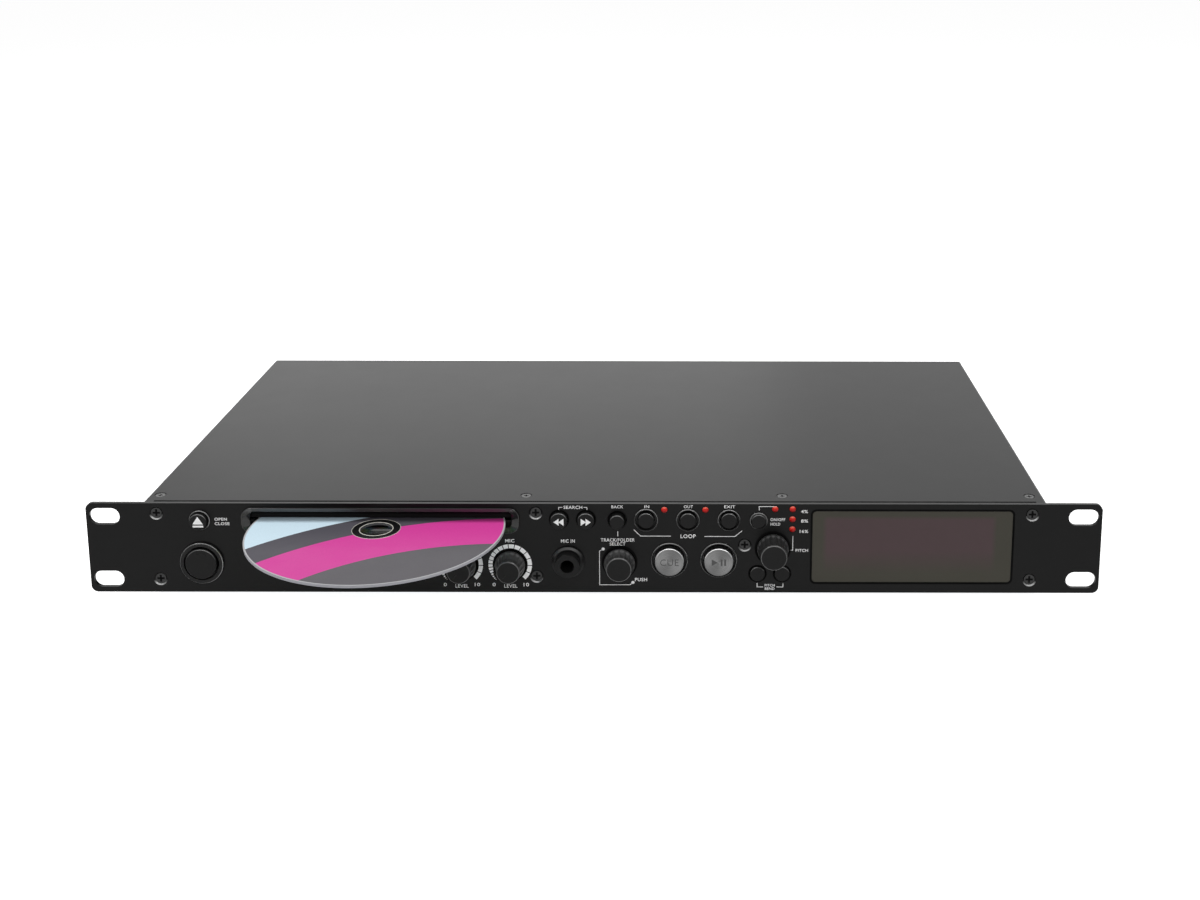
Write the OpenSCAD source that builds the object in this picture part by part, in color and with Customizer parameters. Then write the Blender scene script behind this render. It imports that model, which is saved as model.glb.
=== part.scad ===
// Slot-loading disc player for a 19-inch rack, one rack unit high.
// Millimetres. X runs to the right, Y runs into the player and Z runs up.
// The origin is the centre of the four rack slots, in the plane of the panel's front face.

/* [Front panel] */
// Overall width of the front panel, ears included
panel_w = 482.6; // [480:0.1:484]
// Height of the front panel
panel_h = 45; // [44.6:0.1:46]
// Thickness of the front panel
panel_t = 2; // [1.9:0.1:2.4]
// Corner radius of the front panel
panel_r = 3.2; // [1:0.1:4]
// Distance between the left and the right rack slots
rack_pitch_x = 465.1; // [464:0.1:466]
// Distance between the upper and the lower rack slots
rack_pitch_z = 31.75; // [31:0.05:32.5]
// Length of a rack slot, end to end
rack_slot_l = 14.4; // [11:0.1:15]
// Height of a rack slot
rack_slot_w = 8.2; // [6.5:0.1:8.6]

/* [Case] */
// Width over the cover
case_w = 432.8; // [430:0.1:436]
// Height of the case without feet
case_h = 41.4; // [41.2:0.1:42]
// Distance from the panel's face to the back of the cover
case_back = 237.2; // [234:0.1:260]
// Thickness of the case's sheet metal
sheet_t = 1; // [0.8:0.05:1.1]
// Thickness of the frame behind the front panel
frame_t = 1.2; // [1:0.1:1.3]
// Height of a rubber foot
foot_h = 6; // [4:0.5:10]
// Radius of a rubber foot
foot_r = 10; // [8:0.5:12]

/* [Disc] */
// Diameter of the disc
disc_d = 120; // [118:0.5:121]
// Diameter of the disc's centre hole
disc_hole_d = 15; // [14.8:0.1:15.4]
// Thickness of the disc
disc_t = 1.2; // [1.1:0.05:1.3]
// Height of the disc's middle plane
disc_z = 13.2; // [13:0.1:13.4]
// Where the disc's centre lies when it is ejected
disc_out_y = -9.6; // [-14:0.1:-6]
// Where the disc's centre lies when it is loaded
spindle_y = 78.4; // [77:0.1:80]
// Where the disc's and the spindle's centre line lies across the player
loader_x = -101.7; // [-102.5:0.1:-100.5]

/* [Slot bezel] */
// Width of the slot's opening
slot_w = 125.8; // [124:0.1:127]
// Height of the slot's opening
slot_h = 8.8; // [8:0.1:9]
// Height of the slot's middle
slot_z = 14.2; // [14:0.1:14.4]
// Width of the bezel's rim beside the opening
rim_side = 3.2; // [2.8:0.1:4]
// Height of the bezel's rim above and below the opening
rim_top = 2; // [1.6:0.1:2.2]
// How far the bezel stands out of the panel
rim_proud = 1.4; // [1:0.1:2]

/* [Display] */
// Width of the display window
window_w = 95.3; // [90:0.1:98]
// Height of the display window
window_h = 36.2; // [34:0.1:37]
// Centre of the display window across the player
window_x = 151.2; // [150:0.1:152]
// Height of the display window's centre
window_z = 0.9; // [0.5:0.1:1.3]

/* [Buttons and knobs] */
// Height of the upper row of buttons
upper_row_z = 14.5; // [14.3:0.1:14.6]
// Travel of the small buttons
button_travel = 1; // [0.6:0.1:1]
// Travel of the power button
power_travel = 3; // [2:0.1:3.2]
// Radius of the CUE and PLAY caps
transport_r = 7; // [6.5:0.1:7.2]
// Radius of the LED lenses
led_r = 1.5; // [1.3:0.1:1.6]
// Radius of the knob shafts
shaft_r = 3; // [2.8:0.05:3.1]
// Depth from the panel's face to the control board
board_y = 12; // [11.8:0.1:12.4]
// Height of the two level knobs and their pots
level_z = -8.4; // [-8.8:0.1:-8]
// Radius of the bore of the phone jacks
jack_bore_r = 3.25; // [3.2:0.01:3.35]

/* [Loader] */
// How far the traverse rises to take the disc
lift = 2.2; // [2:0.05:2.3]
// How far the cam slider moves to raise the traverse
cam_travel = 11; // [10:0.5:12]
// Travel of the pickup sled
sled_travel = 34; // [30:0.5:35]
// Radius of the feed roller at its ends
roller_r = 5; // [4.5:0.1:5]
// Tooth module of the loading gears
gear_module = 0.8; // [0.78:0.01:0.82]
// Angle by which the clamp arm stands open
clamp_open = 1.12; // [0.9:0.01:1.15]

/* [Clearances] */
// Gap between a button and its hole
button_gap = 0.3; // [0.2:0.05:0.4]
// Radial gap of a running fit
run_gap = 0.05; // [0.03:0.01:0.08]
// Gap between sliding or passing pieces
pass_gap = 0.3; // [0.25:0.05:0.4]
// Gap between two pieces that are assembled face to face
fit_gap = 0.1; // [0.05:0.01:0.15]

/* [Hidden] */
$fn = 48;

// Case
case_top = case_h / 2;
floor_top = -case_h / 2 + sheet_t;
roof = case_top - sheet_t;
cover_front = panel_t + 0.2;
wall_x = case_w / 2 - sheet_t - 0.2;   // outer face of the chassis' side flanges
rear_y = case_back - sheet_t - fit_gap; // outer face of the rear wall
frame_back = panel_t + frame_t;
frame_top = roof - fit_gap;
tab_under = frame_top - sheet_t;       // underside of the frame's tabs
tab_half = 2.9;                         // half width of the frame's tabs under the cover's screws
tab_depth = 19;
cover_screw_y = 15;
cover_sink = 0.2;                       // how deep the cover's front screws sit
cover_screw_x = [5.5 - case_w / 2, -34, 89.9, case_w / 2 - 6.8];
lip_h = 7.3;
lip_screw_x = [-150, 0, 150];
side_screw_y = [60, 180];
side_screw_z = -13;
side_flange_h = 14;
foot_x = case_w / 2 - 31.4;
foot_y = [34, 206];

// Screws
thread_r = 1.45;
hole_r = thread_r + run_gap;
sink_r = 3.3;
panel_sink = 0.45;                      // how deep the panel's screw heads sit
panel_screw_x = case_w / 2 - 8.4;        // the outer screws of the panel
panel_screw_at = [[-panel_screw_x, 17.5], [-panel_screw_x, -15.8], [-28, 17.9], [-28, -14.3], [71.4, 1.8],
  [panel_screw_x, 17.3], [panel_screw_x, -15.8]];

// Buttons: [x, z, cap radius, how far it stands out, radius of the hole around it, ring radius or 0]
rim_left = loader_x - slot_w / 2 - rim_side;                       // left end of the slot's rim
open_close_x = rim_left - 0.49005 * (panel_screw_x + rim_left);    // between the rim and the outer screws
open_close = [open_close_x, 14, 4.1, 3, 4.1 + button_gap, 5];
search_back = [-16.9, 14.7, 4, 2.8, 4.4, 0];
search_forward = [-4.1, 14.7, 4, 2.8, 4.4, 0];
back = [10.7, upper_row_z, 3.5, 3.5, 4.6, 0];
loop_in = [24.4, upper_row_z, 3.8, 1.6, 3.8 + button_gap, 5.7];
loop_out = [44.3, upper_row_z, 3.8, 1.6, 3.8 + button_gap, 5.6];
loop_exit = [63.8, upper_row_z, 3.8, 1.6, 3.8 + button_gap, 5.4];
hold = [77.9, 14.2, 3.5, 1.7, 3.5 + button_gap, 4.2];
bend_minus = [77.6, -12.75, 3.6, 1, 3.6 + button_gap, 0];
bend_plus = [89.4, -12.75, 3.6, 1, 3.6 + button_gap, 0];
cue = [35.5, -5.75, transport_r, 3.3, transport_r + button_gap, 8.8];
play = [59, -5.75, transport_r, 3.3, transport_r + button_gap, 8.8];
power_x = 28.9 - case_w / 2;             // clear of the case's wall and the outer screw
power = [power_x, -7.4, 7.45, 2.5, 7.45 + button_gap, 10.3];
small_buttons = [open_close, search_back, search_forward, back, loop_in, loop_out, loop_exit, hold,
  bend_minus, bend_plus, cue, play];
buttons = concat(small_buttons, [power]);
leds = [[33.1, 19.5], [52.6, 19.5], [85.7, 19.9], [94, 19.9], [94, 14.85], [94, 9.8]];

// Knobs: [x, z, base radius, face radius, how far it stands out, gap behind it]
mic_level = [-40.6, level_z, 7.2, 5.5, 9.4, 0.6];
phones_level = [-64, level_z, 7.2, 5.5, 9.4, 0.6];
track_travel = 0.8;
track_select = [11.7, -7.05, 7.4, 6, 9, track_travel + 0.5];
pitch = [84.8, 0.15, 7.5, 6.2, 11.4, 0.6];
knobs = [mic_level, phones_level, track_select, pitch];

// Jacks: [x, z]
mic_jack = [-12.9, -6.7];
phones_jack = [-92, -6.7];
jacks = [mic_jack, phones_jack];
jack_neck_r = 5.8;
jack_proud = 6;
jack_body_l = 24;
jack_body_h = 11;
jack_body_w = 15;
jack_nut_r = 7.8;
jack_nut_t = 2;

// Small pieces behind the panel
board_t = 1.6;
ring_proud = 0.8;
ring_lip = 0.6;
ring_step = 1;                          // depth of the step between a ring's lip and its button
power_ring_proud = 1.5;
power_ring_lip = 1.85;
cap_round = 0.5;                        // rounding of a button's edge
frame_clear = 0.2;                      // how much wider a button's hole is in the frame
button_flange = 0.8;                    // how far a button's flange reaches past its hole
button_flange_t = 1.2;
button_flange_top = roof - 0.5;         // the flanges are cut flat under the cover
stem_r = 1.8;
switch_body = 6;
switch_h = 3.8;
plunger_r = 1.5;
plunger_h = 0.8;
plunger_tip = board_y - switch_h - plunger_h;
stem_end = plunger_tip - button_travel - pass_gap;
flange_at = frame_back + pass_gap;      // front of a button's flange
power_stem_r = 2.4;
power_switch_y = 9.2;
power_switch_l = 21;
power_switch_half = 7;
power_tip = 9;
power_stem_end = power_tip - power_travel - pass_gap;
power_leg = [8.8, 12];                  // how far the legs stand beside the power button's axis
pot_front = 5.4;
pot_w = 11;
window_t = 1.8;
window_gap = 0.35;
window_rest = 3;                        // how far the frame reaches behind the window
shaft_clear = 0.8;
lens_proud = 1;
light_bar_t = 0.7;
light_bar_w = 1.6;
post_r = 2.5;
post_hole = 5;
board_post_at = [[-150, -12], [-118, -12], [0, 4], [47.2, 4.5], [97.2, -15.8]];
board_left = -160;
board_right = 100.5;
board_low_top = 5.5;                    // top of the board where the disc passes over it
board_split_x = -30;

// Slot and disc
bezel_w = slot_w + 2 * rim_side;
bezel_h = slot_h + 2 * rim_top;
bezel_r = 5;
neck_wall = 0.9;
disc_r = disc_d / 2;
disc_top = disc_z + disc_t / 2;
disc_under = disc_z - disc_t / 2;
lip_gap = 0.5;                          // between the dust lips and the disc
lip_t = 2;

// Loader chassis
loader_half = 73;
loader_wall = 1;
loader_front = 19.6;
loader_back = 178;
loader_floor = -16;
loader_top = 18.2;
damper_r = 5;
damper_at = [[-62, 34], [62, 34], [-62, 168], [62, 168]];
loader_left = loader_x - loader_half;
loader_right = loader_x + loader_half;
inner_half = loader_half - loader_wall;

// Feed roller and loading gears
roller_y = 24;
roller_z = disc_under - pass_gap - roller_r;
roller_half = 62;
roller_waist = 0.6;                     // how much thinner the roller is in its middle
roller_shaft_r = 1.5;
roller_teeth = 22;
idler_teeth = 20;
pinion_teeth = 14;
gear_t = 3;
gear_gap = 0.7;                         // between the loader's wall and the gears
gear_x1 = loader_left - gear_gap;
gear_x0 = gear_x1 - gear_t;
stud_r = 1.5;
idler_angle = -40;
pinion_angle = -10;
idler_y = roller_y + (roller_teeth + idler_teeth) / 2 * gear_module * cos(idler_angle);
idler_z = roller_z + (roller_teeth + idler_teeth) / 2 * gear_module * sin(idler_angle);
pinion_y = idler_y + (idler_teeth + pinion_teeth) / 2 * gear_module * cos(pinion_angle);
pinion_z = idler_z + (idler_teeth + pinion_teeth) / 2 * gear_module * sin(pinion_angle);
motor_r = 7;
motor_l = 22;
motor_shaft_r = 1;
boss_r = 2.2;

// Traverse, at rest in its low place
platter_r = 15;
platter_top = disc_under - pass_gap - lift;
platter_t = 2;
nose_r = disc_hole_d / 2 - 0.2;
nose_h = disc_t + 0.6;
hub_r = 4;
plate_top = platter_top - 6.9;
plate_t = 1.2;
plate_under = plate_top - plate_t;
plate_half = 58;
plate_front = 59;
plate_skirt = 7;
spindle_motor_r = 11;
spindle_motor_h = 9;
pin_r = 1.5;
pin_z = plate_top - 4.2;
pin_y = [74, 148];
rod_r = 1.5;
rod_x = 26;
rod_z = plate_under - 2.7;
window_half = 21.5;
sled_front = 14;                        // from the spindle to the front of the sled
lens_out = 24;                          // from the spindle to the lens, at rest
sled_l = 22;
sled_half = 20.5;
rod_y0 = spindle_y + 10;
rod_y1 = spindle_y + sled_front + sled_l + sled_travel + 5.6;
lug_t = 3.5;
lug_half = 3;
screw_x = 36;
screw_r = 1.6;
screw_pitch = 3;
sled_motor_r = 6.5;
sled_motor_l = 15;
lens_r = 3;

// Cam slider
rail_t = 1.2;
rail_x = inner_half - pass_gap;         // outer face of a rail
rail_y0 = 58.5;
rail_y1 = 160;
rail_z0 = pin_z - 8;
rail_z1 = pin_z + lift + 3;
cam_slot_r = pin_r + 0.2;
cam_angle = atan(lift / cam_travel);
cam_run = sqrt(lift * lift + cam_travel * cam_travel);
guide_stud_y = [92, 122];
guide_stud_z = rail_z0 + 3.2;
bridge_w = 7;

// Clamp arm, drawn closed and then opened about its pivot
pivot_y = 150;
pivot_z = 15.2;
pivot_r = 1.5;
arm_z = disc_top + 1.9;
arm_t = 0.8;
arm_hole_r = 5.6;
puck_r = 13;
puck_t = 1.2;
puck_under = disc_top + pass_gap;
puck_neck_r = 5;
puck_cap_r = 8;
puck_cap_t = 0.8;

// Rear connectors: inlet centre, cavity and rim
inlet_x = case_w / 2 - 38.4;
inlet_z = -3;
inlet_w = 31;
inlet_h = 24;
cavity_w = 24.2;
cavity_h = 17;
cavity_l = 17;
inlet_body_w = 27.6;
inlet_body_h = 20.4;
inlet_l = 22;
inlet_rim_t = 2;
rca_x = [-150, -134, -118];
rca_z = 3;
rca_r = 4.15;
rca_l = 8.5;
rca_washer_t = 1;
rca_body = 11;

// Boards inside
standoff_h = 6;
standoff_r = 3;
main_box = [[-14, 116], [44, 152]];
power_box = [[126, wall_x - 9.2], [98, 206]];
inside_board_z = floor_top + standoff_h;
board_inset = 5;

// ---------- helpers ----------

// Box from three [low, high] pairs
module slab(x, y, z) {
  translate([x[0], y[0], z[0]]) cube([x[1] - x[0], y[1] - y[0], z[1] - z[0]]);
}

// Upright outline in X and Z, run from y0 to y1
module upright(y0, y1) {
  translate([0, y1, 0]) rotate([90, 0, 0]) linear_extrude(y1 - y0) children();
}

// Side outline in Y and Z, run from x0 to x1
module sideways(x0, x1) {
  translate([x0, 0, 0]) rotate([90, 0, 90]) linear_extrude(x1 - x0) children();
}

// Turns a shape that is drawn along Z so that it runs into the player from a place on the panel
module into_panel(x, z, y = 0) {
  translate([x, y, z]) rotate([-90, 0, 0]) children();
}

// Turns a shape that is drawn along Z so that it runs to the right
module to_right(x, y, z) {
  translate([x, y, z]) rotate([0, 90, 0]) children();
}

// Turned part from [radius, depth] points, seated on the panel
module turned(x, z, points) {
  into_panel(x, z) rotate_extrude($fn = 64) polygon(points);
}

// Rectangle with round corners, centred
module round_rect(w, h, r) {
  square([w - 2 * r, h], center = true);
  square([w, h - 2 * r], center = true);
  for (sx = [-1, 1], sz = [-1, 1]) translate([sx * (w / 2 - r), sz * (h / 2 - r)]) circle(r);
}

// Long hole of centre distance l and radius r, from the origin along +X
module long_hole(l, r) {
  circle(r);
  translate([l, 0]) circle(r);
  translate([0, -r]) square([l, 2 * r]);
}

// Phillips recess at the origin, opening towards -Z
module cross_recess(r, depth) {
  for (a = [0, 90]) rotate(a) translate([-r, -r / 4, -0.01]) cube([2 * r, r / 2, depth]);
}

// Countersunk screw: head at the origin, shank along +Z
module sunk_screw(head_r, length) {
  difference() {
    rotate_extrude() polygon([[0, 0], [head_r, 0], [thread_r, head_r - thread_r],
      [thread_r, length], [0, length]]);
    cross_recess(head_r * 0.55, 0.7);
  }
}

// Pan-head screw: underside of the head at the origin, shank along +Z
module pan_screw(length, head_r = 2.8, head_h = 1.6) {
  difference() {
    rotate_extrude() polygon([[0, -head_h], [head_r * 0.7, -head_h], [head_r, -head_h * 0.55],
      [head_r, 0], [thread_r, 0], [thread_r, length], [0, length]]);
    translate([0, 0, -head_h]) cross_recess(head_r * 0.55, 0.9);
  }
}

// ---------- involute gears ----------

function involute(a) = tan(a) * 180 / PI - a;
function flank(teeth, r) =
  let (base = teeth * gear_module / 2 * cos(20), a = r > base ? acos(base / r) : 0)
  89 / teeth + involute(20) - involute(a);
function gear_radii(teeth) =
  let (p = teeth * gear_module / 2)
  [p - 1.2 * gear_module, p - 0.5 * gear_module, p, p + 0.45 * gear_module, p + 0.9 * gear_module];
function gear_outline(teeth) =
  let (radii = gear_radii(teeth), n = len(radii))
  [for (i = [0 : teeth - 1], j = [0 : 2 * n - 1])
    let (k = j < n ? j : 2 * n - 1 - j, side = j < n ? -1 : 1,
      angle = 360 / teeth * i + side * flank(teeth, radii[k]))
    radii[k] * [cos(angle), sin(angle)]];
// Phase of a gear that meshes with one of phase a, where line is the direction between centres
function mesh_phase(a, teeth_a, teeth_b, line) =
  line + 180 - (a - line) * teeth_a / teeth_b - 180 / teeth_b;

idler_phase = mesh_phase(0, roller_teeth, idler_teeth, idler_angle);
pinion_phase = mesh_phase(idler_phase, idler_teeth, pinion_teeth, pinion_angle);

// Gear on an axis along X, with a bore unless r is 0
module gear(teeth, y, z, phase, bore_r) {
  sideways(gear_x0, gear_x1) translate([y, z]) difference() {
    rotate(phase) polygon(gear_outline(teeth));
    if (bore_r > 0) circle(bore_r);
  }
}

// ---------- buttons and knobs ----------

// Hole in the panel for a button or for the ring around it
// Corner of a turned profile, rounded by c, between a face at y and a side of radius r
function rounded(r, y, c) = [for (a = [0 : 30 : 90]) [r - c * (1 - sin(a)), y + c * (1 - cos(a))]];

function panel_hole_r(b) = b[5] > 0 ? b[5] + fit_gap / 2 : b[4];

module button(b, end_r = stem_r, end = stem_end) {
  r = b[2];
  flange_r = b[4] + button_flange;
  difference() {
    turned(b[0], b[1], concat([[0, -b[3]]], rounded(r, -b[3], cap_round), [[r, flange_at],
      [flange_r, flange_at], [flange_r, flange_at + button_flange_t],
      [end_r, flange_at + button_flange_t], [end_r, end], [0, end]]));
    if (b[1] + flange_r > button_flange_top)
      slab([b[0] - 10, b[0] + 10], [0, board_y], [button_flange_top, button_flange_top + 5]);
  }
}

// Ring around a button, pressed into the panel, with a step behind its lip if there is room for one
module ring(b, proud = ring_proud, lip = ring_lip) {
  bore = b[4];
  inner = max(bore, b[5] - lip);
  turned(b[0], b[1], concat([[inner, -proud], [b[5] - 0.3, -proud], [b[5], 0.3 - proud],
    [b[5], panel_t], [bore, panel_t]], inner > bore ? [[bore, ring_step], [inner, ring_step]] : []));
}

// Knob of data k, dished on its face, with its shaft reaching back to depth shaft_end
module knob(k, shaft_end) {
  dish = 0.3;
  turned(k[0], k[1], [[0, dish - k[4]], [k[3] - 1.4, dish - k[4]], [k[3] - 1.2, -k[4]],
    [k[3] - 0.6, -k[4]], [k[3], 0.8 - k[4]], [k[2], -k[5] - 1], [k[2], -k[5]], [shaft_r, -k[5]],
    [shaft_r, shaft_end], [0, shaft_end]]);
}

// ---------- front ----------

module window_hole() {
  translate([window_x, window_z]) round_rect(window_w + 2 * window_gap, window_h + 2 * window_gap, 2.3);
}

module front_panel() {
  neck_w = slot_w + 2 * neck_wall + fit_gap;
  neck_h = slot_h + 2 * neck_wall + fit_gap;
  color([0.13, 0.13, 0.135]) difference() {
    upright(0, panel_t) difference() {
      round_rect(panel_w, panel_h, panel_r);
      for (sx = [-1, 1], sz = [-1, 1])
        translate([sx * rack_pitch_x / 2 - (rack_slot_l - rack_slot_w) / 2, sz * rack_pitch_z / 2])
          long_hole(rack_slot_l - rack_slot_w, rack_slot_w / 2);
      translate([loader_x, slot_z]) round_rect(neck_w, neck_h, 3);
      window_hole();
      for (b = buttons) translate([b[0], b[1]]) circle(panel_hole_r(b));
      for (k = knobs) translate([k[0], k[1]]) circle(shaft_r + pass_gap);
      for (j = jacks) translate([j[0], j[1]]) circle(jack_neck_r + fit_gap);
      for (l = leds) translate([l[0], l[1]]) circle(led_r + fit_gap / 2);
      for (s = panel_screw_at) translate([s[0], s[1]]) circle(hole_r);
    }
    for (s = panel_screw_at) into_panel(s[0], s[1], -0.01)
      cylinder(r1 = sink_r + 0.01, r2 = hole_r, h = sink_r - hole_r);
  }
}

// Sheet frame behind the panel: it takes the panel's screws and carries the control board
module front_frame() {
  frame_half = wall_x - sheet_t - pass_gap;
  color([0.62, 0.64, 0.66]) {
    upright(panel_t, frame_back) difference() {
      translate([-frame_half, floor_top]) square([2 * frame_half, frame_top - floor_top]);
      translate([loader_x - slot_w / 2 - 1, slot_z - slot_h / 2 - 0.6])
        square([slot_w + 2, tab_under - slot_z + slot_h / 2 + 0.6]);
      translate([window_x, window_z]) round_rect(window_w - 2 * window_rest, window_h - 2 * window_rest, 1);
      for (b = buttons) translate([b[0], b[1]]) circle(b[4] + frame_clear);
      for (k = knobs) translate([k[0], k[1]]) circle(shaft_r + shaft_clear);
      for (j = jacks) translate([j[0], j[1]]) circle(jack_neck_r + fit_gap);
      for (l = leds) translate([l[0] - light_bar_w, light_bar_top(l) - 2]) square([2 * light_bar_w, 4]);
      for (s = panel_screw_at) translate([s[0], s[1]]) circle(hole_r);
    }
    for (x = cover_screw_x) difference() {
      slab([x - tab_half, x + tab_half], [frame_back, tab_depth], [tab_under, frame_top]);
      translate([x, cover_screw_y, tab_under - 1]) cylinder(r = hole_r, h = 4);
    }
    slab([-frame_half, frame_half], [frame_back, 12], [floor_top, floor_top + sheet_t]);
    for (p = board_post_at) difference() {
      into_panel(p[0], p[1], frame_back) cylinder(r = post_r, h = board_y - frame_back);
      into_panel(p[0], p[1], board_y - post_hole) cylinder(r = hole_r, h = post_hole + 1);
    }
  }
}

module slot_bezel() {
  color([0.1, 0.1, 0.105]) difference() {
    translate([loader_x, 0, slot_z]) {
      upright(-rim_proud / 2, 0) round_rect(bezel_w, bezel_h, bezel_r);
      upright(-rim_proud, -rim_proud / 2) round_rect(bezel_w - 1.2, bezel_h - 1.2, bezel_r - 0.6);
      upright(0, panel_t) round_rect(slot_w + 2 * neck_wall, slot_h + 2 * neck_wall, 3);
    }
    translate([loader_x, 0, slot_z]) upright(-rim_proud - 1, panel_t + 1) round_rect(slot_w, slot_h, 2.4);
  }
}

// Two strips that keep dust out of the slot, above and below the disc
module dust_lips() {
  half = slot_w / 2 + 2.5;
  y = [frame_back, frame_back + lip_t];
  color([0.06, 0.06, 0.06]) {
    slab([loader_x - half, loader_x + half], y, [disc_top + lip_gap, tab_under]);
    slab([loader_x - half, loader_x + half], y, [slot_z - slot_h / 2 - 3, disc_under - lip_gap]);
  }
}

module display_window() {
  color([0.2, 0.19, 0.15]) translate([window_x, 0, window_z])
    upright(panel_t - window_t, panel_t) round_rect(window_w, window_h, 2);
}

// LCD behind the window, its glass filling the frame's opening
module lcd_module() {
  glass_w = window_w - 2 * window_rest - 1;
  glass_h = window_h - 2 * window_rest - 1;
  color([0.3, 0.3, 0.28]) translate([window_x, 0, window_z]) {
    upright(frame_back, frame_back + 7) square([window_w - 1, window_h - 4], center = true);
    upright(panel_t + fit_gap, frame_back) square([glass_w, glass_h], center = true);
  }
}

// ---------- control board and what it carries ----------

module control_board() {
  y = [board_y, board_y + board_t];
  low = floor_top + sheet_t + 0.5;
  color([0.06, 0.3, 0.14]) difference() {
    union() {
      slab([board_left, board_right], y, [low, board_low_top]);
      slab([board_split_x, board_right], y, [low, tab_under - 0.5]);
    }
    for (j = jacks) slab([j[0] - jack_body_w / 2 - 0.4, j[0] + jack_body_w / 2 + 0.4],
      [board_y - 1, board_y + board_t + 1], [low - 1, j[1] + jack_body_h / 2 + 0.4]);
    for (p = board_post_at) into_panel(p[0], p[1], board_y - 1) cylinder(r = hole_r, h = board_t + 2);
  }
}

// Tact switches of the small buttons, the open/close switch's own board on two legs, and the
// power switch on two legs
module panel_switches() {
  open_board_x = [open_close[0] - 8, open_close[0] + 12];
  open_board_z = 5.5;
  leg_w = 2;
  leg_inset = 0.5;
  color([0.2, 0.2, 0.2]) {
    for (b = small_buttons) {
      slab([b[0] - switch_body / 2, b[0] + switch_body / 2], [board_y - switch_h, board_y],
        [b[1] - switch_body / 2, b[1] + switch_body / 2]);
      into_panel(b[0], b[1], plunger_tip) cylinder(r = plunger_r, h = plunger_h);
    }
    slab(open_board_x, [board_y, board_y + board_t], [open_board_z, tab_under - 0.5]);
    for (x = [open_board_x[0] + leg_inset, open_board_x[1] - leg_inset - leg_w])
      slab([x, x + leg_w], [frame_back, board_y], [open_board_z + 0.3, open_board_z + 3]);
    difference() {
      slab([power[0] - power_switch_half, power[0] + power_switch_half],
        [power_switch_y, power_switch_y + power_switch_l],
        [power[1] - power_switch_half, power[1] + power_switch_half]);
      into_panel(power[0], power[1], power_switch_y - 1) cylinder(r = power_stem_r + 1, h = 5);
    }
    into_panel(power[0], power[1], power_tip) cylinder(r = power_stem_r, h = 5);
    for (s = [-1, 1]) {
      x = power[0] + s * (power_leg[0] + power_leg[1]) / 2;
      half = (power_leg[1] - power_leg[0]) / 2;
      slab([x - half, x + half], [frame_back, power_switch_y + 3], [power[1] - 6, power[1] - 2]);
      x1 = power[0] + s * (power_leg[0] + power_switch_half) / 2;
      half1 = (power_leg[0] - power_switch_half) / 2;
      slab([x1 - half1, x1 + half1], [power_switch_y, power_switch_y + 3], [power[1] - 6, power[1] - 2]);
    }
  }
}

function light_bar_top(l) = min(l[1] - light_bar_t, frame_top - 0.9);

// Lenses in the panel with light bars back to the board
module status_leds() {
  color([0.85, 0.08, 0.06]) for (l = leds) {
    into_panel(l[0], l[1]) rotate_extrude() polygon([[0, -lens_proud], [led_r * 0.6, 0.25 - lens_proud],
      [led_r * 0.9, 0.6 - lens_proud], [led_r, 0], [led_r, panel_t], [0, panel_t]]);
    slab([l[0] - light_bar_w / 2, l[0] + light_bar_w / 2], [panel_t, board_y],
      [light_bar_top(l) - light_bar_t, light_bar_top(l)]);
  }
}

module button_rings() {
  color([0.09, 0.09, 0.09]) {
    for (b = small_buttons) if (b[5] > 0) ring(b);
    ring(power, power_ring_proud, power_ring_lip);
  }
}

// Phone jacks with threaded necks through the panel
module phone_jacks() {
  color([0.12, 0.12, 0.12]) for (j = jacks) difference() {
    union() {
      into_panel(j[0], j[1], -jack_proud) cylinder(r = jack_neck_r, h = jack_proud + frame_back + 0.5);
      slab([j[0] - jack_body_w / 2, j[0] + jack_body_w / 2], [frame_back, frame_back + jack_body_l],
        [j[1] - jack_body_h / 2, j[1] + jack_body_h / 2]);
    }
    into_panel(j[0], j[1], -jack_proud - 1) cylinder(r = jack_bore_r, h = jack_proud + jack_body_l);
  }
}

module jack_nuts() {
  color([0.1, 0.1, 0.1]) for (j = jacks) turned(j[0], j[1], [[jack_neck_r + run_gap, -jack_nut_t],
    [jack_nut_r - 1, -jack_nut_t], [jack_nut_r, 0.8 - jack_nut_t], [jack_nut_r, 0],
    [jack_neck_r + run_gap, 0]]);
}

// Bodies of the level pots and of the two encoders, on the control board
module rotary_controls() {
  color([0.45, 0.46, 0.48]) for (k = knobs) difference() {
    slab([k[0] - pot_w / 2, k[0] + pot_w / 2], [pot_front, board_y], [k[1] - pot_w / 2, k[1] + pot_w / 2]);
    into_panel(k[0], k[1], pot_front - 1) cylinder(r = shaft_r + run_gap, h = 6.2);
  }
}

// ---------- case ----------

module top_cover() {
  outer_r = 1.5;
  color([0.2, 0.2, 0.21]) difference() {
    union() {
      upright(cover_front, case_back) difference() {
        round_rect(case_w, case_h, outer_r);
        translate([0, -sheet_t]) round_rect(case_w - 2 * sheet_t, case_h, 0.3);
        translate([-case_w, -case_h]) square([2 * case_w, case_h / 2 + 0.6]);
      }
      slab([outer_r - case_w / 2, case_w / 2 - outer_r], [case_back - sheet_t, case_back],
        [roof - lip_h, roof + 0.2]);
    }
    for (x = cover_screw_x) translate([x, cover_screw_y, case_top + 0.01])
      rotate([180, 0, 0]) cylinder(r1 = 2.9, r2 = 1.9, h = sheet_t + 0.02);
    for (x = lip_screw_x) into_panel(x, roof - lip_h / 2, case_back - 3) cylinder(r = hole_r, h = 5);
    for (y = side_screw_y, s = [-1, 1]) to_right(s * case_w / 2 - 4, y, side_screw_z)
      cylinder(r = hole_r, h = 8);
  }
}

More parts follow.
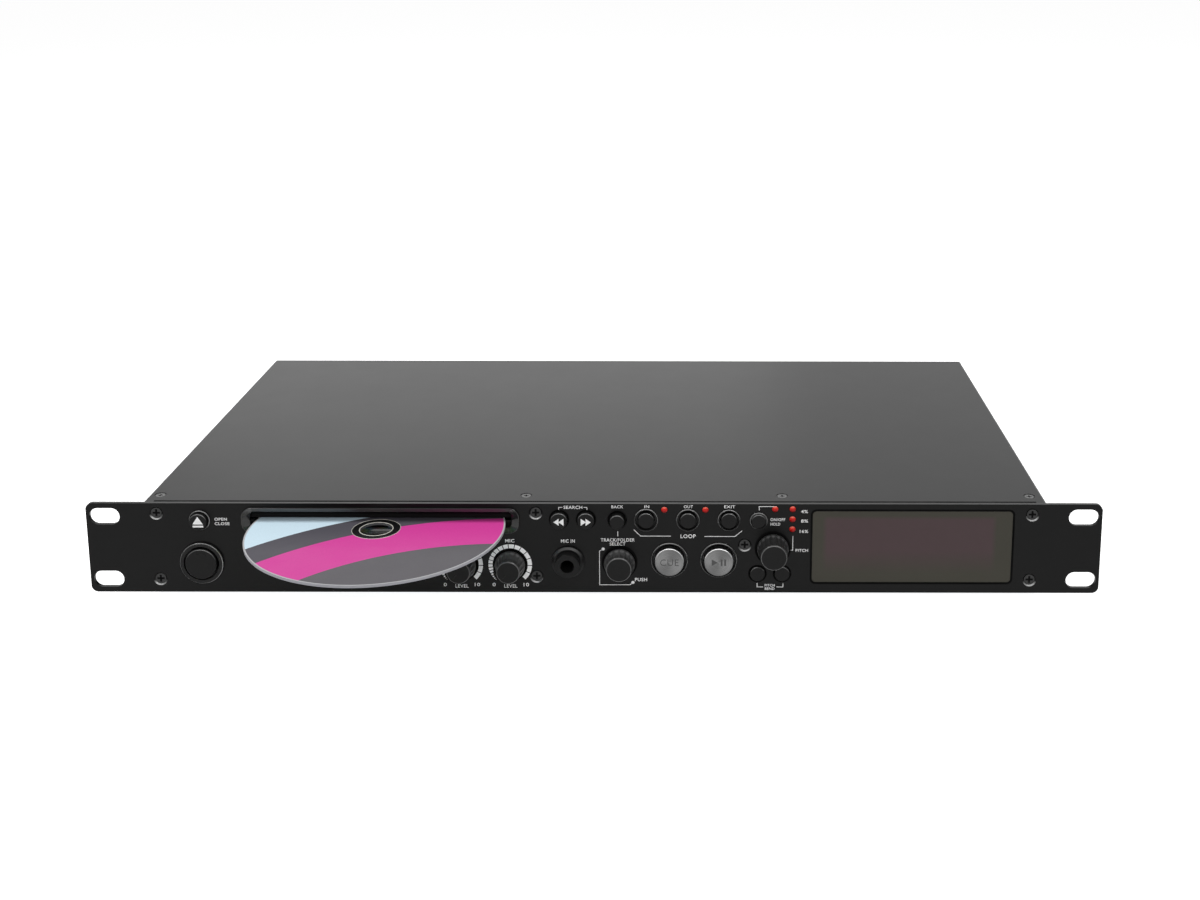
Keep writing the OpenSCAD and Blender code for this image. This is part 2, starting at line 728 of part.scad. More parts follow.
module bottom_chassis() {
  inner = wall_x - sheet_t;
  color([0.6, 0.62, 0.64]) difference() {
    union() {
      slab([-wall_x, wall_x], [cover_front, rear_y], [floor_top - sheet_t, floor_top]);
      for (s = [-1, 1]) slab([s < 0 ? -wall_x : inner, s < 0 ? -inner : wall_x], [cover_front, rear_y],
        [floor_top, floor_top + side_flange_h]);
      slab([-wall_x, wall_x], [rear_y - sheet_t, rear_y], [floor_top, frame_top]);
      for (p = concat(board_corners(main_box), board_corners(power_box)))
        translate([p[0], p[1], floor_top]) cylinder(r = standoff_r, h = standoff_h);
    }
    for (p = concat(board_corners(main_box), board_corners(power_box)))
      translate([p[0], p[1], floor_top + 1]) cylinder(r = hole_r, h = standoff_h);
    for (sx = [-1, 1], y = foot_y) translate([sx * foot_x, y, floor_top - 3]) cylinder(r = hole_r, h = 6);
    for (d = damper_at) translate([loader_x + d[0], d[1], floor_top - 3]) cylinder(r = hole_r, h = 6);
    for (x = lip_screw_x) into_panel(x, roof - lip_h / 2, rear_y - 4) cylinder(r = hole_r, h = 8);
    for (y = side_screw_y, s = [-1, 1]) to_right(s * wall_x - 4, y, side_screw_z) cylinder(r = hole_r, h = 8);
    slab([inlet_x - inlet_body_w / 2 - 0.2, inlet_x + inlet_body_w / 2 + 0.2], [rear_y - 3, rear_y + 3],
      [inlet_z - inlet_body_h / 2 - 0.2, inlet_z + inlet_body_h / 2 + 0.2]);
    for (x = rca_x) into_panel(x, rca_z, rear_y - 3) cylinder(r = rca_r - 0.3, h = 6);
    for (i = [0 : 11]) slab([-84 + 6 * i, -81.5 + 6 * i], [rear_y - 3, rear_y + 3], [-11, 8]);
  }
}

function board_corners(box) =
  [for (x = [box[0][0] + board_inset, box[0][1] - board_inset],
    y = [box[1][0] + board_inset, box[1][1] - board_inset]) [x, y]];

module panel_screws() {
  color([0.08, 0.08, 0.08]) for (s = panel_screw_at) into_panel(s[0], s[1], panel_sink)
    sunk_screw(sink_r - 0.25 - panel_sink, frame_back - panel_sink);
}

// Screws of the cover, feet, loader and boards
module case_screws() {
  color([0.1, 0.1, 0.1]) {
    for (x = cover_screw_x) translate([x, cover_screw_y, case_top - cover_sink]) rotate([180, 0, 0])
      sunk_screw(thread_r + case_top - cover_sink - frame_top, case_top - cover_sink - tab_under + 0.4);
    for (x = lip_screw_x) into_panel(x, roof - lip_h / 2, case_back) rotate([180, 0, 0]) pan_screw(5);
    for (y = side_screw_y, s = [-1, 1]) to_right(s * case_w / 2, y, side_screw_z)
      rotate([s > 0 ? 180 : 0, 0, 0]) pan_screw(4, 2.7, 1.2);
    for (sx = [-1, 1], y = foot_y) translate([sx * foot_x, y, -case_h / 2 - foot_h / 2])
      pan_screw(foot_h / 2 + 3);
    for (d = damper_at) translate([loader_x + d[0], d[1], loader_floor + loader_wall])
      rotate([180, 0, 0]) pan_screw(loader_floor + loader_wall - floor_top + sheet_t);
    for (p = concat(board_corners(main_box), board_corners(power_box)))
      translate([p[0], p[1], inside_board_z + board_t]) rotate([180, 0, 0]) pan_screw(5);
    for (p = board_post_at) into_panel(p[0], p[1], board_y + board_t) rotate([180, 0, 0])
      pan_screw(board_t + post_hole - 1);
  }
}

module rubber_feet() {
  color([0.07, 0.07, 0.07]) for (sx = [-1, 1], y = foot_y)
    translate([sx * foot_x, y, -case_h / 2 - foot_h]) rotate_extrude()
      polygon([[3.4, 0], [foot_r - 1.6, 0], [foot_r - 1, 0.6], [foot_r, foot_h], [hole_r, foot_h],
        [hole_r, foot_h / 2], [3.4, foot_h / 2]]);
}

// ---------- electronics ----------

module board(box) {
  difference() {
    slab(box[0], box[1], [inside_board_z, inside_board_z + board_t]);
    for (p = board_corners(box)) translate([p[0], p[1], inside_board_z - 1])
      cylinder(r = hole_r, h = board_t + 2);
  }
}

module main_board() {
  color([0.05, 0.28, 0.14]) board(main_box);
}

// Chips, electrolytic capacitors and headers of the main board
module main_board_parts() {
  z = inside_board_z + board_t;
  x0 = main_box[0][0];
  y0 = main_box[1][0];
  color([0.12, 0.12, 0.13]) {
    for (c = [[40, 50, 20], [78, 62, 14], [76, 30, 14], [30, 84, 10]])
      slab([x0 + c[0], x0 + c[0] + c[2]], [y0 + c[1], y0 + c[1] + c[2]], [z, z + 1.6]);
    for (i = [0 : 5]) translate([x0 + 18 + 17 * i, y0 + 18, z]) cylinder(r = 3.2, h = 11);
    for (i = [0 : 2]) slab([x0 + 14 + 36 * i, x0 + 36 + 36 * i], [y0 + 4.5, y0 + 9.5], [z, z + 7]);
  }
}

module power_board() {
  color([0.1, 0.3, 0.12]) board(power_box);
}

// Transformer, reservoir capacitors, heat sink and fuse of the power supply
module power_parts() {
  z = inside_board_z + board_t;
  x0 = power_box[0][0];
  x1 = power_box[0][1];
  y0 = power_box[1][0];
  y1 = power_box[1][1];
  cap_pitch = (x1 - x0 - 40) / 2;
  fin_pitch = (x1 - x0 - 38) / 7;
  color([0.7, 0.62, 0.3]) {
    slab([x0 + 16, x1 - 16], [y0 + 56, y1 - 12], [z, z + 26]);
    for (i = [0 : 2]) translate([x0 + 20 + cap_pitch * i, y0 + 38, z]) cylinder(r = 8, h = 24);
    slab([x0 + 14, x1 - 18], [y0 + 14, y0 + 17], [z, z + 24]);
    for (i = [0 : 7]) translate([x0 + 14 + fin_pitch * i, 0, 0])
      slab([0, 1.4], [y0 + 17, y0 + 24], [z, z + 24]);
    translate([x1 - 12, y0 + 30, z + 3]) rotate([-90, 0, 0]) cylinder(r = 3, h = 20);
  }
}

// Mains inlet with three blades in its cavity
module mains_inlet() {
  mouth = case_back + inlet_rim_t;
  corner = 5;                             // how far the cavity's lower corners are cut off
  x = cavity_w / 2;
  z = cavity_h / 2;
  color([0.08, 0.08, 0.08]) {
    difference() {
      translate([inlet_x, 0, inlet_z]) {
        upright(rear_y - inlet_l + inlet_rim_t, rear_y) square([inlet_body_w, inlet_body_h], center = true);
        upright(rear_y, mouth) square([inlet_w, inlet_h], center = true);
      }
      translate([inlet_x, 0, inlet_z]) upright(mouth - cavity_l, mouth + 1)
        polygon([[-x, z], [x, z], [x, corner - z], [x - corner, -z], [corner - x, -z], [-x, corner - z]]);
    }
    blade_end = mouth - 3;
    for (b = [[-7, 0.5], [7, 0.5], [0, -3.5]])
      slab([inlet_x + b[0] - 1, inlet_x + b[0] + 1], [mouth - cavity_l - 1, blade_end],
        [inlet_z + b[1] - 2, inlet_z + b[1] + 2]);
  }
}

module rca_sockets() {
  color([0.75, 0.6, 0.2]) for (x = rca_x) difference() {
    union() {
      into_panel(x, rca_z, rear_y - sheet_t - 0.5) cylinder(r = rca_r - 0.5, h = sheet_t + 1);
      into_panel(x, rca_z, rear_y) cylinder(r = rca_r + 1.2, h = rca_washer_t);
      into_panel(x, rca_z, rear_y + rca_washer_t) cylinder(r = rca_r, h = rca_l);
      slab([x - rca_body / 2, x + rca_body / 2], [rear_y - sheet_t - 14, rear_y - sheet_t],
        [rca_z - rca_body / 2, rca_z + rca_body / 2]);
    }
    into_panel(x, rca_z, rear_y) cylinder(r = 1.7, h = rca_washer_t + rca_l + 1);
  }
}

// ---------- loader, fixed pieces ----------

module loader_chassis() {
  color([0.68, 0.69, 0.7]) {
    difference() {
      slab([loader_left, loader_right], [loader_front, loader_back],
        [loader_floor, loader_floor + loader_wall]);
      for (d = damper_at) translate([loader_x + d[0], d[1], loader_floor - 1]) cylinder(r = hole_r, h = 4);
    }
    for (s = [-1, 1]) {
      x0 = s < 0 ? loader_left : loader_right - loader_wall;
      difference() {
        slab([x0, x0 + loader_wall], [loader_front, loader_back], [loader_floor + loader_wall, loader_top]);
        to_right(x0 - 1, roller_y, roller_z) cylinder(r = roller_shaft_r + run_gap, h = 3);
        to_right(x0 - 1, pivot_y, pivot_z) cylinder(r = pivot_r + run_gap, h = 3);
        if (s < 0) to_right(x0 - 1, pinion_y, pinion_z) cylinder(r = boss_r + fit_gap, h = 3);
        for (y = pin_y) sideways(x0 - 1, x0 + loader_wall + 1) translate([y, pin_z]) rotate(90)
          long_hole(lift, pin_r + run_gap);
      }
      stud_x0 = s < 0 ? x0 + loader_wall - 0.2 : loader_x + rail_x - rail_t - 0.8;
      for (y = guide_stud_y) to_right(stud_x0, y, guide_stud_z)
        cylinder(r = stud_r, h = rail_t + 0.8 + pass_gap + 0.2);
    }
    to_right(gear_x0 - 0.6, idler_y, idler_z) cylinder(r = stud_r, h = gear_t + gear_gap + 0.8);
  }
}

// Upper guide: the disc runs under its two ribs
module disc_guide() {
  y = [loader_front, 46];
  color([0.16, 0.16, 0.17]) {
    slab([loader_x - inner_half, loader_x + inner_half], y, [disc_top + 1.4, disc_top + 2.4]);
    for (s = [-1, 1]) translate([loader_x + s * (disc_d / 2 - 10), 0, 0])
      slab([-3, 3], y, [disc_top + pass_gap, disc_top + 1.4]);
  }
}

module loader_dampers() {
  color([0.1, 0.1, 0.1]) for (d = damper_at) translate([loader_x + d[0], d[1], floor_top]) difference() {
    cylinder(r = damper_r, h = loader_floor - floor_top);
    translate([0, 0, -1]) cylinder(r = hole_r, h = 9);
  }
}

module loading_motor() {
  x0 = loader_left + loader_wall;
  color([0.55, 0.56, 0.58]) difference() {
    union() {
      to_right(x0, pinion_y, pinion_z) cylinder(r = motor_r, h = motor_l);
      to_right(x0 - loader_wall, pinion_y, pinion_z) cylinder(r = boss_r, h = loader_wall + 1);
    }
    to_right(x0 - loader_wall - 1, pinion_y, pinion_z) cylinder(r = motor_shaft_r + run_gap, h = 12);
  }
}

// ---------- loader, moving pieces ----------

module disc() {
  color([0.72, 0.86, 0.93]) translate([loader_x, disc_out_y, disc_under]) difference() {
    cylinder(r = disc_r, h = disc_t, $fn = 128);
    translate([0, 0, -1]) cylinder(r = disc_hole_d / 2, h = disc_t + 2);
  }
}

// Rubber roller, thinner in its middle, on a shaft that ends in the roller gear
module feed_roller() {
  color([0.1, 0.1, 0.1]) {
    to_right(loader_x, roller_y, roller_z) rotate_extrude() polygon([
      [roller_shaft_r, -roller_half], [roller_r, -roller_half], [roller_r - roller_waist, 0],
      [roller_r, roller_half], [roller_shaft_r, roller_half]]);
    to_right(gear_x0, roller_y, roller_z) cylinder(r = roller_shaft_r, h = loader_right + 0.5 - gear_x0);
    gear(roller_teeth, roller_y, roller_z, 0, 0);
  }
}

module idler_gear() {
  color([0.9, 0.9, 0.85]) gear(idler_teeth, idler_y, idler_z, idler_phase, stud_r + run_gap);
}

module motor_pinion() {
  color([0.9, 0.9, 0.85]) {
    gear(pinion_teeth, pinion_y, pinion_z, pinion_phase, 0);
    to_right(gear_x1 - 1, pinion_y, pinion_z) cylinder(r = motor_shaft_r, h = 11);
  }
}

// Two rails with sloping slots for the traverse's pins, joined by a bridge
module cam_slider() {
  color([0.3, 0.31, 0.33]) {
    for (s = [-1, 1]) {
      x0 = loader_x + (s < 0 ? -rail_x : rail_x - rail_t);
      sideways(x0, x0 + rail_t) difference() {
        translate([rail_y0, rail_z0]) square([rail_y1 - rail_y0, rail_z1 - rail_z0]);
        for (y = pin_y) translate([y, pin_z]) rotate(180 - cam_angle) long_hole(cam_run, cam_slot_r);
        for (y = guide_stud_y) translate([y - cam_travel, guide_stud_z]) long_hole(cam_travel, stud_r + 0.2);
      }
    }
    slab([loader_x - rail_x, loader_x + rail_x], [rail_y0, rail_y0 + bridge_w], [rail_z0, rail_z0 + rail_t]);
  }
}

// Plate that carries the motors, rods and screw, with pins that ride in the cam slots
module traverse_chassis() {
  color([0.25, 0.26, 0.28]) {
    difference() {
      slab([loader_x - plate_half, loader_x + plate_half], [plate_front, rod_y1], [plate_under, plate_top]);
      translate([loader_x, spindle_y, plate_under - 1]) cylinder(r = 3, h = plate_t + 2);
      slab([loader_x - window_half, loader_x + window_half], [rod_y0 + lug_t, rod_y1 - lug_t],
        [plate_under - 1, plate_top + 1]);
    }
    for (s = [-1, 1]) {
      x0 = loader_x + (s < 0 ? -plate_half : plate_half - plate_t);
      slab([x0, x0 + plate_t], [plate_front, rod_y1], [plate_top - plate_skirt, plate_under]);
      for (y = pin_y) to_right(s < 0 ? loader_left + 0.1 : x0 + 0.1, y, pin_z)
        cylinder(r = pin_r, h = loader_half - plate_half + plate_t - 0.2);
      for (y = [rod_y0, rod_y1 - lug_t]) difference() {
        slab([loader_x + s * rod_x - lug_half, loader_x + s * rod_x + lug_half], [y, y + lug_t],
          [rod_z - lug_half, plate_under]);
        into_panel(loader_x + s * rod_x, rod_z, y - 1) cylinder(r = rod_r + 0.02, h = lug_t + 2);
      }
    }
    for (y = [rod_y0, rod_y1 - lug_t]) difference() {
      slab([loader_x + screw_x - lug_half, loader_x + screw_x + lug_half], [y, y + lug_t],
        [rod_z - lug_half, plate_under]);
      into_panel(loader_x + screw_x, rod_z, y - 1) cylinder(r = 1 + run_gap, h = lug_t + 2);
    }
  }
}

module guide_rods() {
  color([0.8, 0.8, 0.82]) for (s = [-1, 1]) into_panel(loader_x + s * rod_x, rod_z, rod_y0)
    cylinder(r = rod_r, h = rod_y1 - rod_y0);
}

// Spindle motor under the plate and sled motor at the end of the lead screw
module traverse_motors() {
  color([0.6, 0.6, 0.62]) {
    difference() {
      translate([loader_x, spindle_y, plate_under - spindle_motor_h])
        cylinder(r = spindle_motor_r, h = spindle_motor_h);
      translate([loader_x, spindle_y, plate_under - spindle_motor_h + 2])
        cylinder(r = motor_shaft_r + run_gap, h = spindle_motor_h);
    }
    difference() {
      into_panel(loader_x + screw_x, rod_z, rod_y1) cylinder(r = sled_motor_r, h = sled_motor_l);
      into_panel(loader_x + screw_x, rod_z, rod_y1 - 1) cylinder(r = 1 + run_gap, h = 8);
    }
  }
}

module turntable() {
  color([0.15, 0.15, 0.16]) translate([loader_x, spindle_y, 0]) rotate_extrude($fn = 64) polygon([
    [0, plate_under - spindle_motor_h + 3], [motor_shaft_r, plate_under - spindle_motor_h + 3],
    [motor_shaft_r, plate_top + 0.4], [hub_r, plate_top + 0.4], [hub_r, platter_top - platter_t],
    [platter_r, platter_top - platter_t], [platter_r, platter_top], [nose_r, platter_top],
    [nose_r, platter_top + nose_h - 0.8], [nose_r - 0.8, platter_top + nose_h], [0, platter_top + nose_h]]);
}

module pickup_sled() {
  y0 = spindle_y + sled_front;
  lens_y = spindle_y + lens_out;
  color([0.5, 0.51, 0.53]) {
    difference() {
      union() {
        slab([loader_x - sled_half, loader_x + sled_half], [y0, y0 + sled_l], [rod_z - 2.8, plate_top + 1.6]);
        slab([loader_x - rod_x - 3, loader_x + rod_x + 3], [y0 + 2, y0 + sled_l - 2],
          [rod_z - 2.8, rod_z + 2.2]);
        slab([loader_x + rod_x, loader_x + screw_x + 3], [y0 + 6, y0 + sled_l - 4],
          [rod_z - 2.8, rod_z + 2.2]);
        translate([loader_x, lens_y, plate_top + 1.6]) cylinder(r = 6, h = 2.6);
      }
      for (s = [-1, 1]) into_panel(loader_x + s * rod_x, rod_z, y0 - 1)
        cylinder(r = rod_r + run_gap, h = sled_l + 2);
      into_panel(loader_x + screw_x, rod_z, y0 - 1) cylinder(r = screw_r + run_gap, h = sled_l + 2);
      translate([loader_x, lens_y, plate_top + 3.4]) cylinder(r = lens_r + run_gap, h = 3);
    }
  }
}

module objective_lens() {
  color([0.4, 0.5, 0.75]) translate([loader_x, spindle_y + lens_out, plate_top + 3.4])
    rotate_extrude() polygon([[0, 0], [lens_r, 0], [lens_r, 1], [lens_r * 0.7, 1.6], [0, 1.9]]);
}

// Screw with ring-shaped threads, and thin journals at its ends
module lead_screw() {
  y0 = rod_y0 + lug_t + 0.5;
  y1 = rod_y1 - lug_t - 0.5;
  turns = floor((y1 - y0) / screw_pitch);
  step = (y1 - y0) / turns;
  color([0.85, 0.85, 0.86]) {
    into_panel(loader_x + screw_x, rod_z, y0) rotate_extrude($fn = 32) polygon(concat([[0, 0]],
      [for (i = [0 : turns - 1], j = [0 : 2])
        [screw_r - (j == 1 ? 0.5 : 0), step * i + step * j / 3]],
      [[screw_r, step * turns], [0, step * turns]]));
    into_panel(loader_x + screw_x, rod_z, rod_y0) cylinder(r = 1, h = rod_y1 + 6 - rod_y0);
  }
}

// Turns the clamp arm and the clamper from closed to open
module opened() {
  translate([0, pivot_y, pivot_z]) rotate([-clamp_open, 0, 0]) translate([0, -pivot_y, -pivot_z]) children();
}

module clamp_arm() {
  color([0.7, 0.71, 0.72]) opened() {
    difference() {
      union() {
        slab([loader_x - 14, loader_x + 14], [spindle_y - 6, pivot_y + 3], [arm_z, arm_z + arm_t]);
        translate([loader_x, spindle_y, arm_z]) cylinder(r = 14, h = arm_t);
        slab([loader_x - 34, loader_x + 34], [pivot_y - 22, pivot_y + 3], [arm_z, arm_z + arm_t]);
      }
      translate([loader_x, spindle_y, arm_z - 1]) cylinder(r = arm_hole_r, h = arm_t + 2);
    }
    to_right(loader_left + 0.1, pivot_y, pivot_z) cylinder(r = pivot_r, h = 2 * loader_half - 0.2);
  }
}

module clamper() {
  color([0.2, 0.2, 0.22]) opened() translate([loader_x, spindle_y, puck_under]) rotate_extrude($fn = 64)
    polygon([[nose_r + 0.5, 0], [puck_r, 0], [puck_r, puck_t], [puck_neck_r, puck_t],
      [puck_neck_r, arm_z + arm_t + 0.3 - puck_under], [puck_cap_r, arm_z + arm_t + 0.3 - puck_under],
      [puck_cap_r, arm_z + arm_t + 0.3 + puck_cap_t - puck_under],
      [0, arm_z + arm_t + 0.3 + puck_cap_t - puck_under], [0, 0.8], [nose_r + 0.5, 0.8]]);
}

// ---------- moving controls ----------

module open_close_button() { color([0.12, 0.12, 0.12]) button(open_close); }
module search_back_button() { color([0.12, 0.12, 0.12]) button(search_back); }
module search_forward_button() { color([0.12, 0.12, 0.12]) button(search_forward); }
module back_button() { color([0.12, 0.12, 0.12]) button(back); }
module loop_in_button() { color([0.12, 0.12, 0.12]) button(loop_in); }
module loop_out_button() { color([0.12, 0.12, 0.12]) button(loop_out); }
module loop_exit_button() { color([0.12, 0.12, 0.12]) button(loop_exit); }
module hold_button() { color([0.12, 0.12, 0.12]) button(hold); }
module pitch_bend_minus_button() { color([0.12, 0.12, 0.12]) button(bend_minus); }
module pitch_bend_plus_button() { color([0.12, 0.12, 0.12]) button(bend_plus); }
module cue_button() { color([0.66, 0.66, 0.68]) button(cue); }
module play_button() { color([0.66, 0.66, 0.68]) button(play); }

module power_button() { color([0.11, 0.11, 0.11]) button(power, power_stem_r, power_stem_end); }

module mic_level_knob() { color([0.12, 0.12, 0.12]) knob(mic_level, pot_front + 5); }
module phones_level_knob() { color([0.12, 0.12, 0.12]) knob(phones_level, pot_front + 5); }
module pitch_knob() { color([0.12, 0.12, 0.12]) knob(pitch, pot_front + 5); }
module track_select_knob() { color([0.12, 0.12, 0.12]) knob(track_select, pot_front + 3); }

// Plate behind the track encoder's shaft, which moves back when the knob is pushed
module track_push_plate() {
  color([0.7, 0.7, 0.7]) into_panel(track_select[0], track_select[1], pot_front + 3.1)
    cylinder(r = shaft_r - 0.2, h = 1.2);
}

front_panel();
front_frame();
slot_bezel();
dust_lips();
display_window();
lcd_module();
control_board();
panel_switches();
status_leds();
button_rings();
phone_jacks();
jack_nuts();
rotary_controls();
top_cover();
bottom_chassis();
panel_screws();
case_screws();
rubber_feet();
main_board();
main_board_parts();
power_board();
power_parts();
mains_inlet();
rca_sockets();
loader_chassis();
disc_guide();
loader_dampers();
loading_motor();
disc();
feed_roller();
idler_gear();
motor_pinion();
cam_slider();
traverse_chassis();
guide_rods();
traverse_motors();
turntable();
pickup_sled();
objective_lens();
lead_screw();
clamp_arm();
clamper();
open_close_button();
power_button();
search_back_button();
search_forward_button();
back_button();
loop_in_button();
loop_out_button();
loop_exit_button();
hold_button();
pitch_bend_minus_button();
pitch_bend_plus_button();
cue_button();
play_button();
mic_level_knob();
phones_level_knob();
track_select_knob();
track_push_plate();
pitch_knob();
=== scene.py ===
import math

import bmesh
import bpy
from mathutils import Matrix, Vector

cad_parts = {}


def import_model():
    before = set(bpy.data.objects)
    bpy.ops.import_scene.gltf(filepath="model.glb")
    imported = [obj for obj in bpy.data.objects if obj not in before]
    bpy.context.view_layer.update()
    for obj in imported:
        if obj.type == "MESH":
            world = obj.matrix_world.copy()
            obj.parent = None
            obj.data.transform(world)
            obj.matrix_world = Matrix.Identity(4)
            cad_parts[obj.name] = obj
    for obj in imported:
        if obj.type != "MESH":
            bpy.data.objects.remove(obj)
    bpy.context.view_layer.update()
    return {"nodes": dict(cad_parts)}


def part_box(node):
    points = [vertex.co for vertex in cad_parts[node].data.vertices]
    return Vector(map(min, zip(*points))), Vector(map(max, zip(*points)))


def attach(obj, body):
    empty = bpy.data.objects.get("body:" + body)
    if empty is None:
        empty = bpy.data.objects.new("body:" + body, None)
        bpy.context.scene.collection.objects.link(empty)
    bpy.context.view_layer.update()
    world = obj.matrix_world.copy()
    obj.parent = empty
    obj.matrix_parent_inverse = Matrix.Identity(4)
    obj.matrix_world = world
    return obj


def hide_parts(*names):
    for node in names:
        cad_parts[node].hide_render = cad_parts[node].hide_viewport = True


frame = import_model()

# A one-unit rack disc player with its disc half out of the slot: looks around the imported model.

MM = 0.001
FLOOR_Z = -0.0267
SLOT_X, SLOT_Z = -101.7, 14.2   # middle of the disc's slot, in mm
DISC_Y = -9.6                   # middle of the disc at rest; its x is the slot's
KNOBS = {                       # x and z of the shaft, and radius at the panel, in mm
    "mic_level_knob": (-40.6, -8.4, 7.2),
    "phones_level_knob": (-64.0, -8.4, 7.2),
    "track_select_knob": (11.7, -7.05, 7.4),
    "pitch_knob": (84.8, 0.15, 7.5),
}
scene = bpy.context.scene
scene.view_settings.view_transform = "Standard"
nodes = frame["nodes"]


# ---------- materials ----------

def grey(level):
    """Linear value of a grey of that sRGB level, 0 to 255."""
    v = level / 255
    return v / 12.92 if v < 0.04045 else ((v + 0.055) / 1.055) ** 2.4


def tone(r, g=None, b=None):
    """Linear colour of sRGB levels, 0 to 255."""
    return tuple(grey(v) for v in (r, r if g is None else g, r if b is None else b)) + (1.0,)


def shaded(colour, share):
    """That colour, made darker or lighter by a factor."""
    return tuple(min(1, c * share) for c in colour[:3]) + (1,)


def even(factor):
    """Factor that is the same for red, green and blue."""
    return (factor, factor, factor, 1)


class Look:
    """A Principled material and short calls for the nodes in front of it."""

    def __init__(self, name, rough=0.4, metal=0.0, spec=0.5, coat=0.0, **sockets):
        self.mat = bpy.data.materials.new(name)
        self.mat.use_nodes = True
        self.tree = self.mat.node_tree
        self.tree.nodes.clear()
        out = self.tree.nodes.new("ShaderNodeOutputMaterial")
        self.shader = self.tree.nodes.new("ShaderNodeBsdfPrincipled")
        self.tree.links.new(self.shader.outputs[0], out.inputs["Surface"])
        values = {"Roughness": rough, "Metallic": metal, "Specular IOR Level": spec,
                  "Coat Weight": coat, **sockets}
        for key, value in values.items():
            self.shader.inputs[key].default_value = value
        coordinates = self.node("ShaderNodeTexCoord").outputs
        self.place, self.normal = coordinates["Object"], coordinates["Normal"]

    def node(self, kind, settings=None, **inputs):
        made = self.tree.nodes.new(kind)
        for key, value in (settings or {}).items():
            setattr(made, key, value)
        for key, value in inputs.items():
            self.plug(value, made.inputs[key.replace("_", " ")])
        return made

    def plug(self, value, socket):
        if isinstance(value, bpy.types.NodeSocket):
            self.tree.links.new(value, socket)
        else:
            socket.default_value = value

    def to(self, key, value):
        self.plug(value, self.shader.inputs[key])
        return self

    def scaled(self, scale=(1, 1, 1), turn=(0, 0, 0)):
        return self.node("ShaderNodeMapping", Vector=self.place, Scale=scale, Rotation=turn).outputs[0]

    def noise(self, size, detail=2.0, place=None):
        """Noise whose features are about size metres across."""
        return self.node("ShaderNodeTexNoise", Vector=place or self.place, Scale=1 / size,
                         Detail=detail, Roughness=0.5).outputs["Fac"]

    def lines(self, along, scale, detail=2.0):
        """Noise that changes along one value only."""
        return self.node("ShaderNodeTexNoise", {"noise_dimensions": "1D"}, W=along, Scale=scale,
                         Detail=detail).outputs["Fac"]

    def math(self, op, a, b=0.0):
        made = self.node("ShaderNodeMath", {"operation": op})
        self.plug(a, made.inputs[0])
        self.plug(b, made.inputs[1])
        return made.outputs[0]

    def length(self, a, b):
        """Distance from the origin of a point at a and b."""
        squares = [self.math("MULTIPLY", v, v) for v in (a, b)]
        return self.math("SQRT", self.math("ADD", *squares))

    def between(self, fac, low, high, start=0.3, end=0.7):
        """fac from start to end, turned into a value from low to high."""
        return self.node("ShaderNodeMapRange", Value=fac, From_Min=start, From_Max=end,
                         To_Min=low, To_Max=high).outputs[0]

    def ramp(self, fac, stops, hard=False):
        made = self.node("ShaderNodeValToRGB", Fac=fac)
        band = made.color_ramp
        band.interpolation = "CONSTANT" if hard else "LINEAR"
        while len(band.elements) < len(stops):
            band.elements.new(0.5)
        for element, (place, colour) in zip(band.elements, stops):
            element.position = place
            element.color = colour
        return made.outputs["Color"]

    def mix(self, fac, a, b):
        made = self.node("ShaderNodeMix", {"data_type": "RGBA"})
        self.plug(fac, made.inputs[0])
        self.plug(a, made.inputs[6])
        self.plug(b, made.inputs[7])
        return made.outputs[2]

    def times(self, a, b):
        made = self.node("ShaderNodeMix", {"data_type": "RGBA", "blend_type": "MULTIPLY"})
        self.plug(1.0, made.inputs[0])
        self.plug(a, made.inputs[6])
        self.plug(b, made.inputs[7])
        return made.outputs[2]

    def axes(self, place=None):
        return self.node("ShaderNodeSeparateXYZ", Vector=place or self.place).outputs

    def colour(self, base, spread=0.12, size=0.02, detail=4.0):
        """Base colour that wanders by a share of itself."""
        shades = [(0.3, shaded(base, 1 - spread)), (0.7, shaded(base, 1 + spread))]
        return self.to("Base Color", self.ramp(self.noise(size, detail), shades))

    def worn(self, rough, spread=0.15, size=0.015):
        """Roughness that wanders, as handled surfaces have it."""
        cloud = self.noise(size, 3.0)
        return self.to("Roughness", self.between(cloud, rough * (1 - spread), rough * (1 + spread)))

    def relief(self, height, depth=0.00001, strength=0.5, edge=0.0):
        """Bump of a height, over edges that are rounded by edge metres."""
        bump = self.node("ShaderNodeBump", Strength=strength, Distance=depth, Height=height)
        if edge:
            rounded = self.node("ShaderNodeBevel", {"samples": 4}, Radius=edge).outputs[0]
            self.plug(rounded, bump.inputs["Normal"])
        return self.to("Normal", bump.outputs[0])


def coated(name, colour, rough, spec=0.5, metal=0.0, grain=0.0004, depth=0.00002, strength=0.3,
           spread=0.12, wear=0.15, edge=0.0, **sockets):
    """Paint, moulded plastic or plated metal: wandering colour and gloss over a fine grain."""
    look = Look(name, rough, metal, spec, **sockets)
    look.colour(colour, spread).worn(rough, wear)
    look.relief(look.noise(grain, 2.0), depth, strength, edge)
    return look.mat


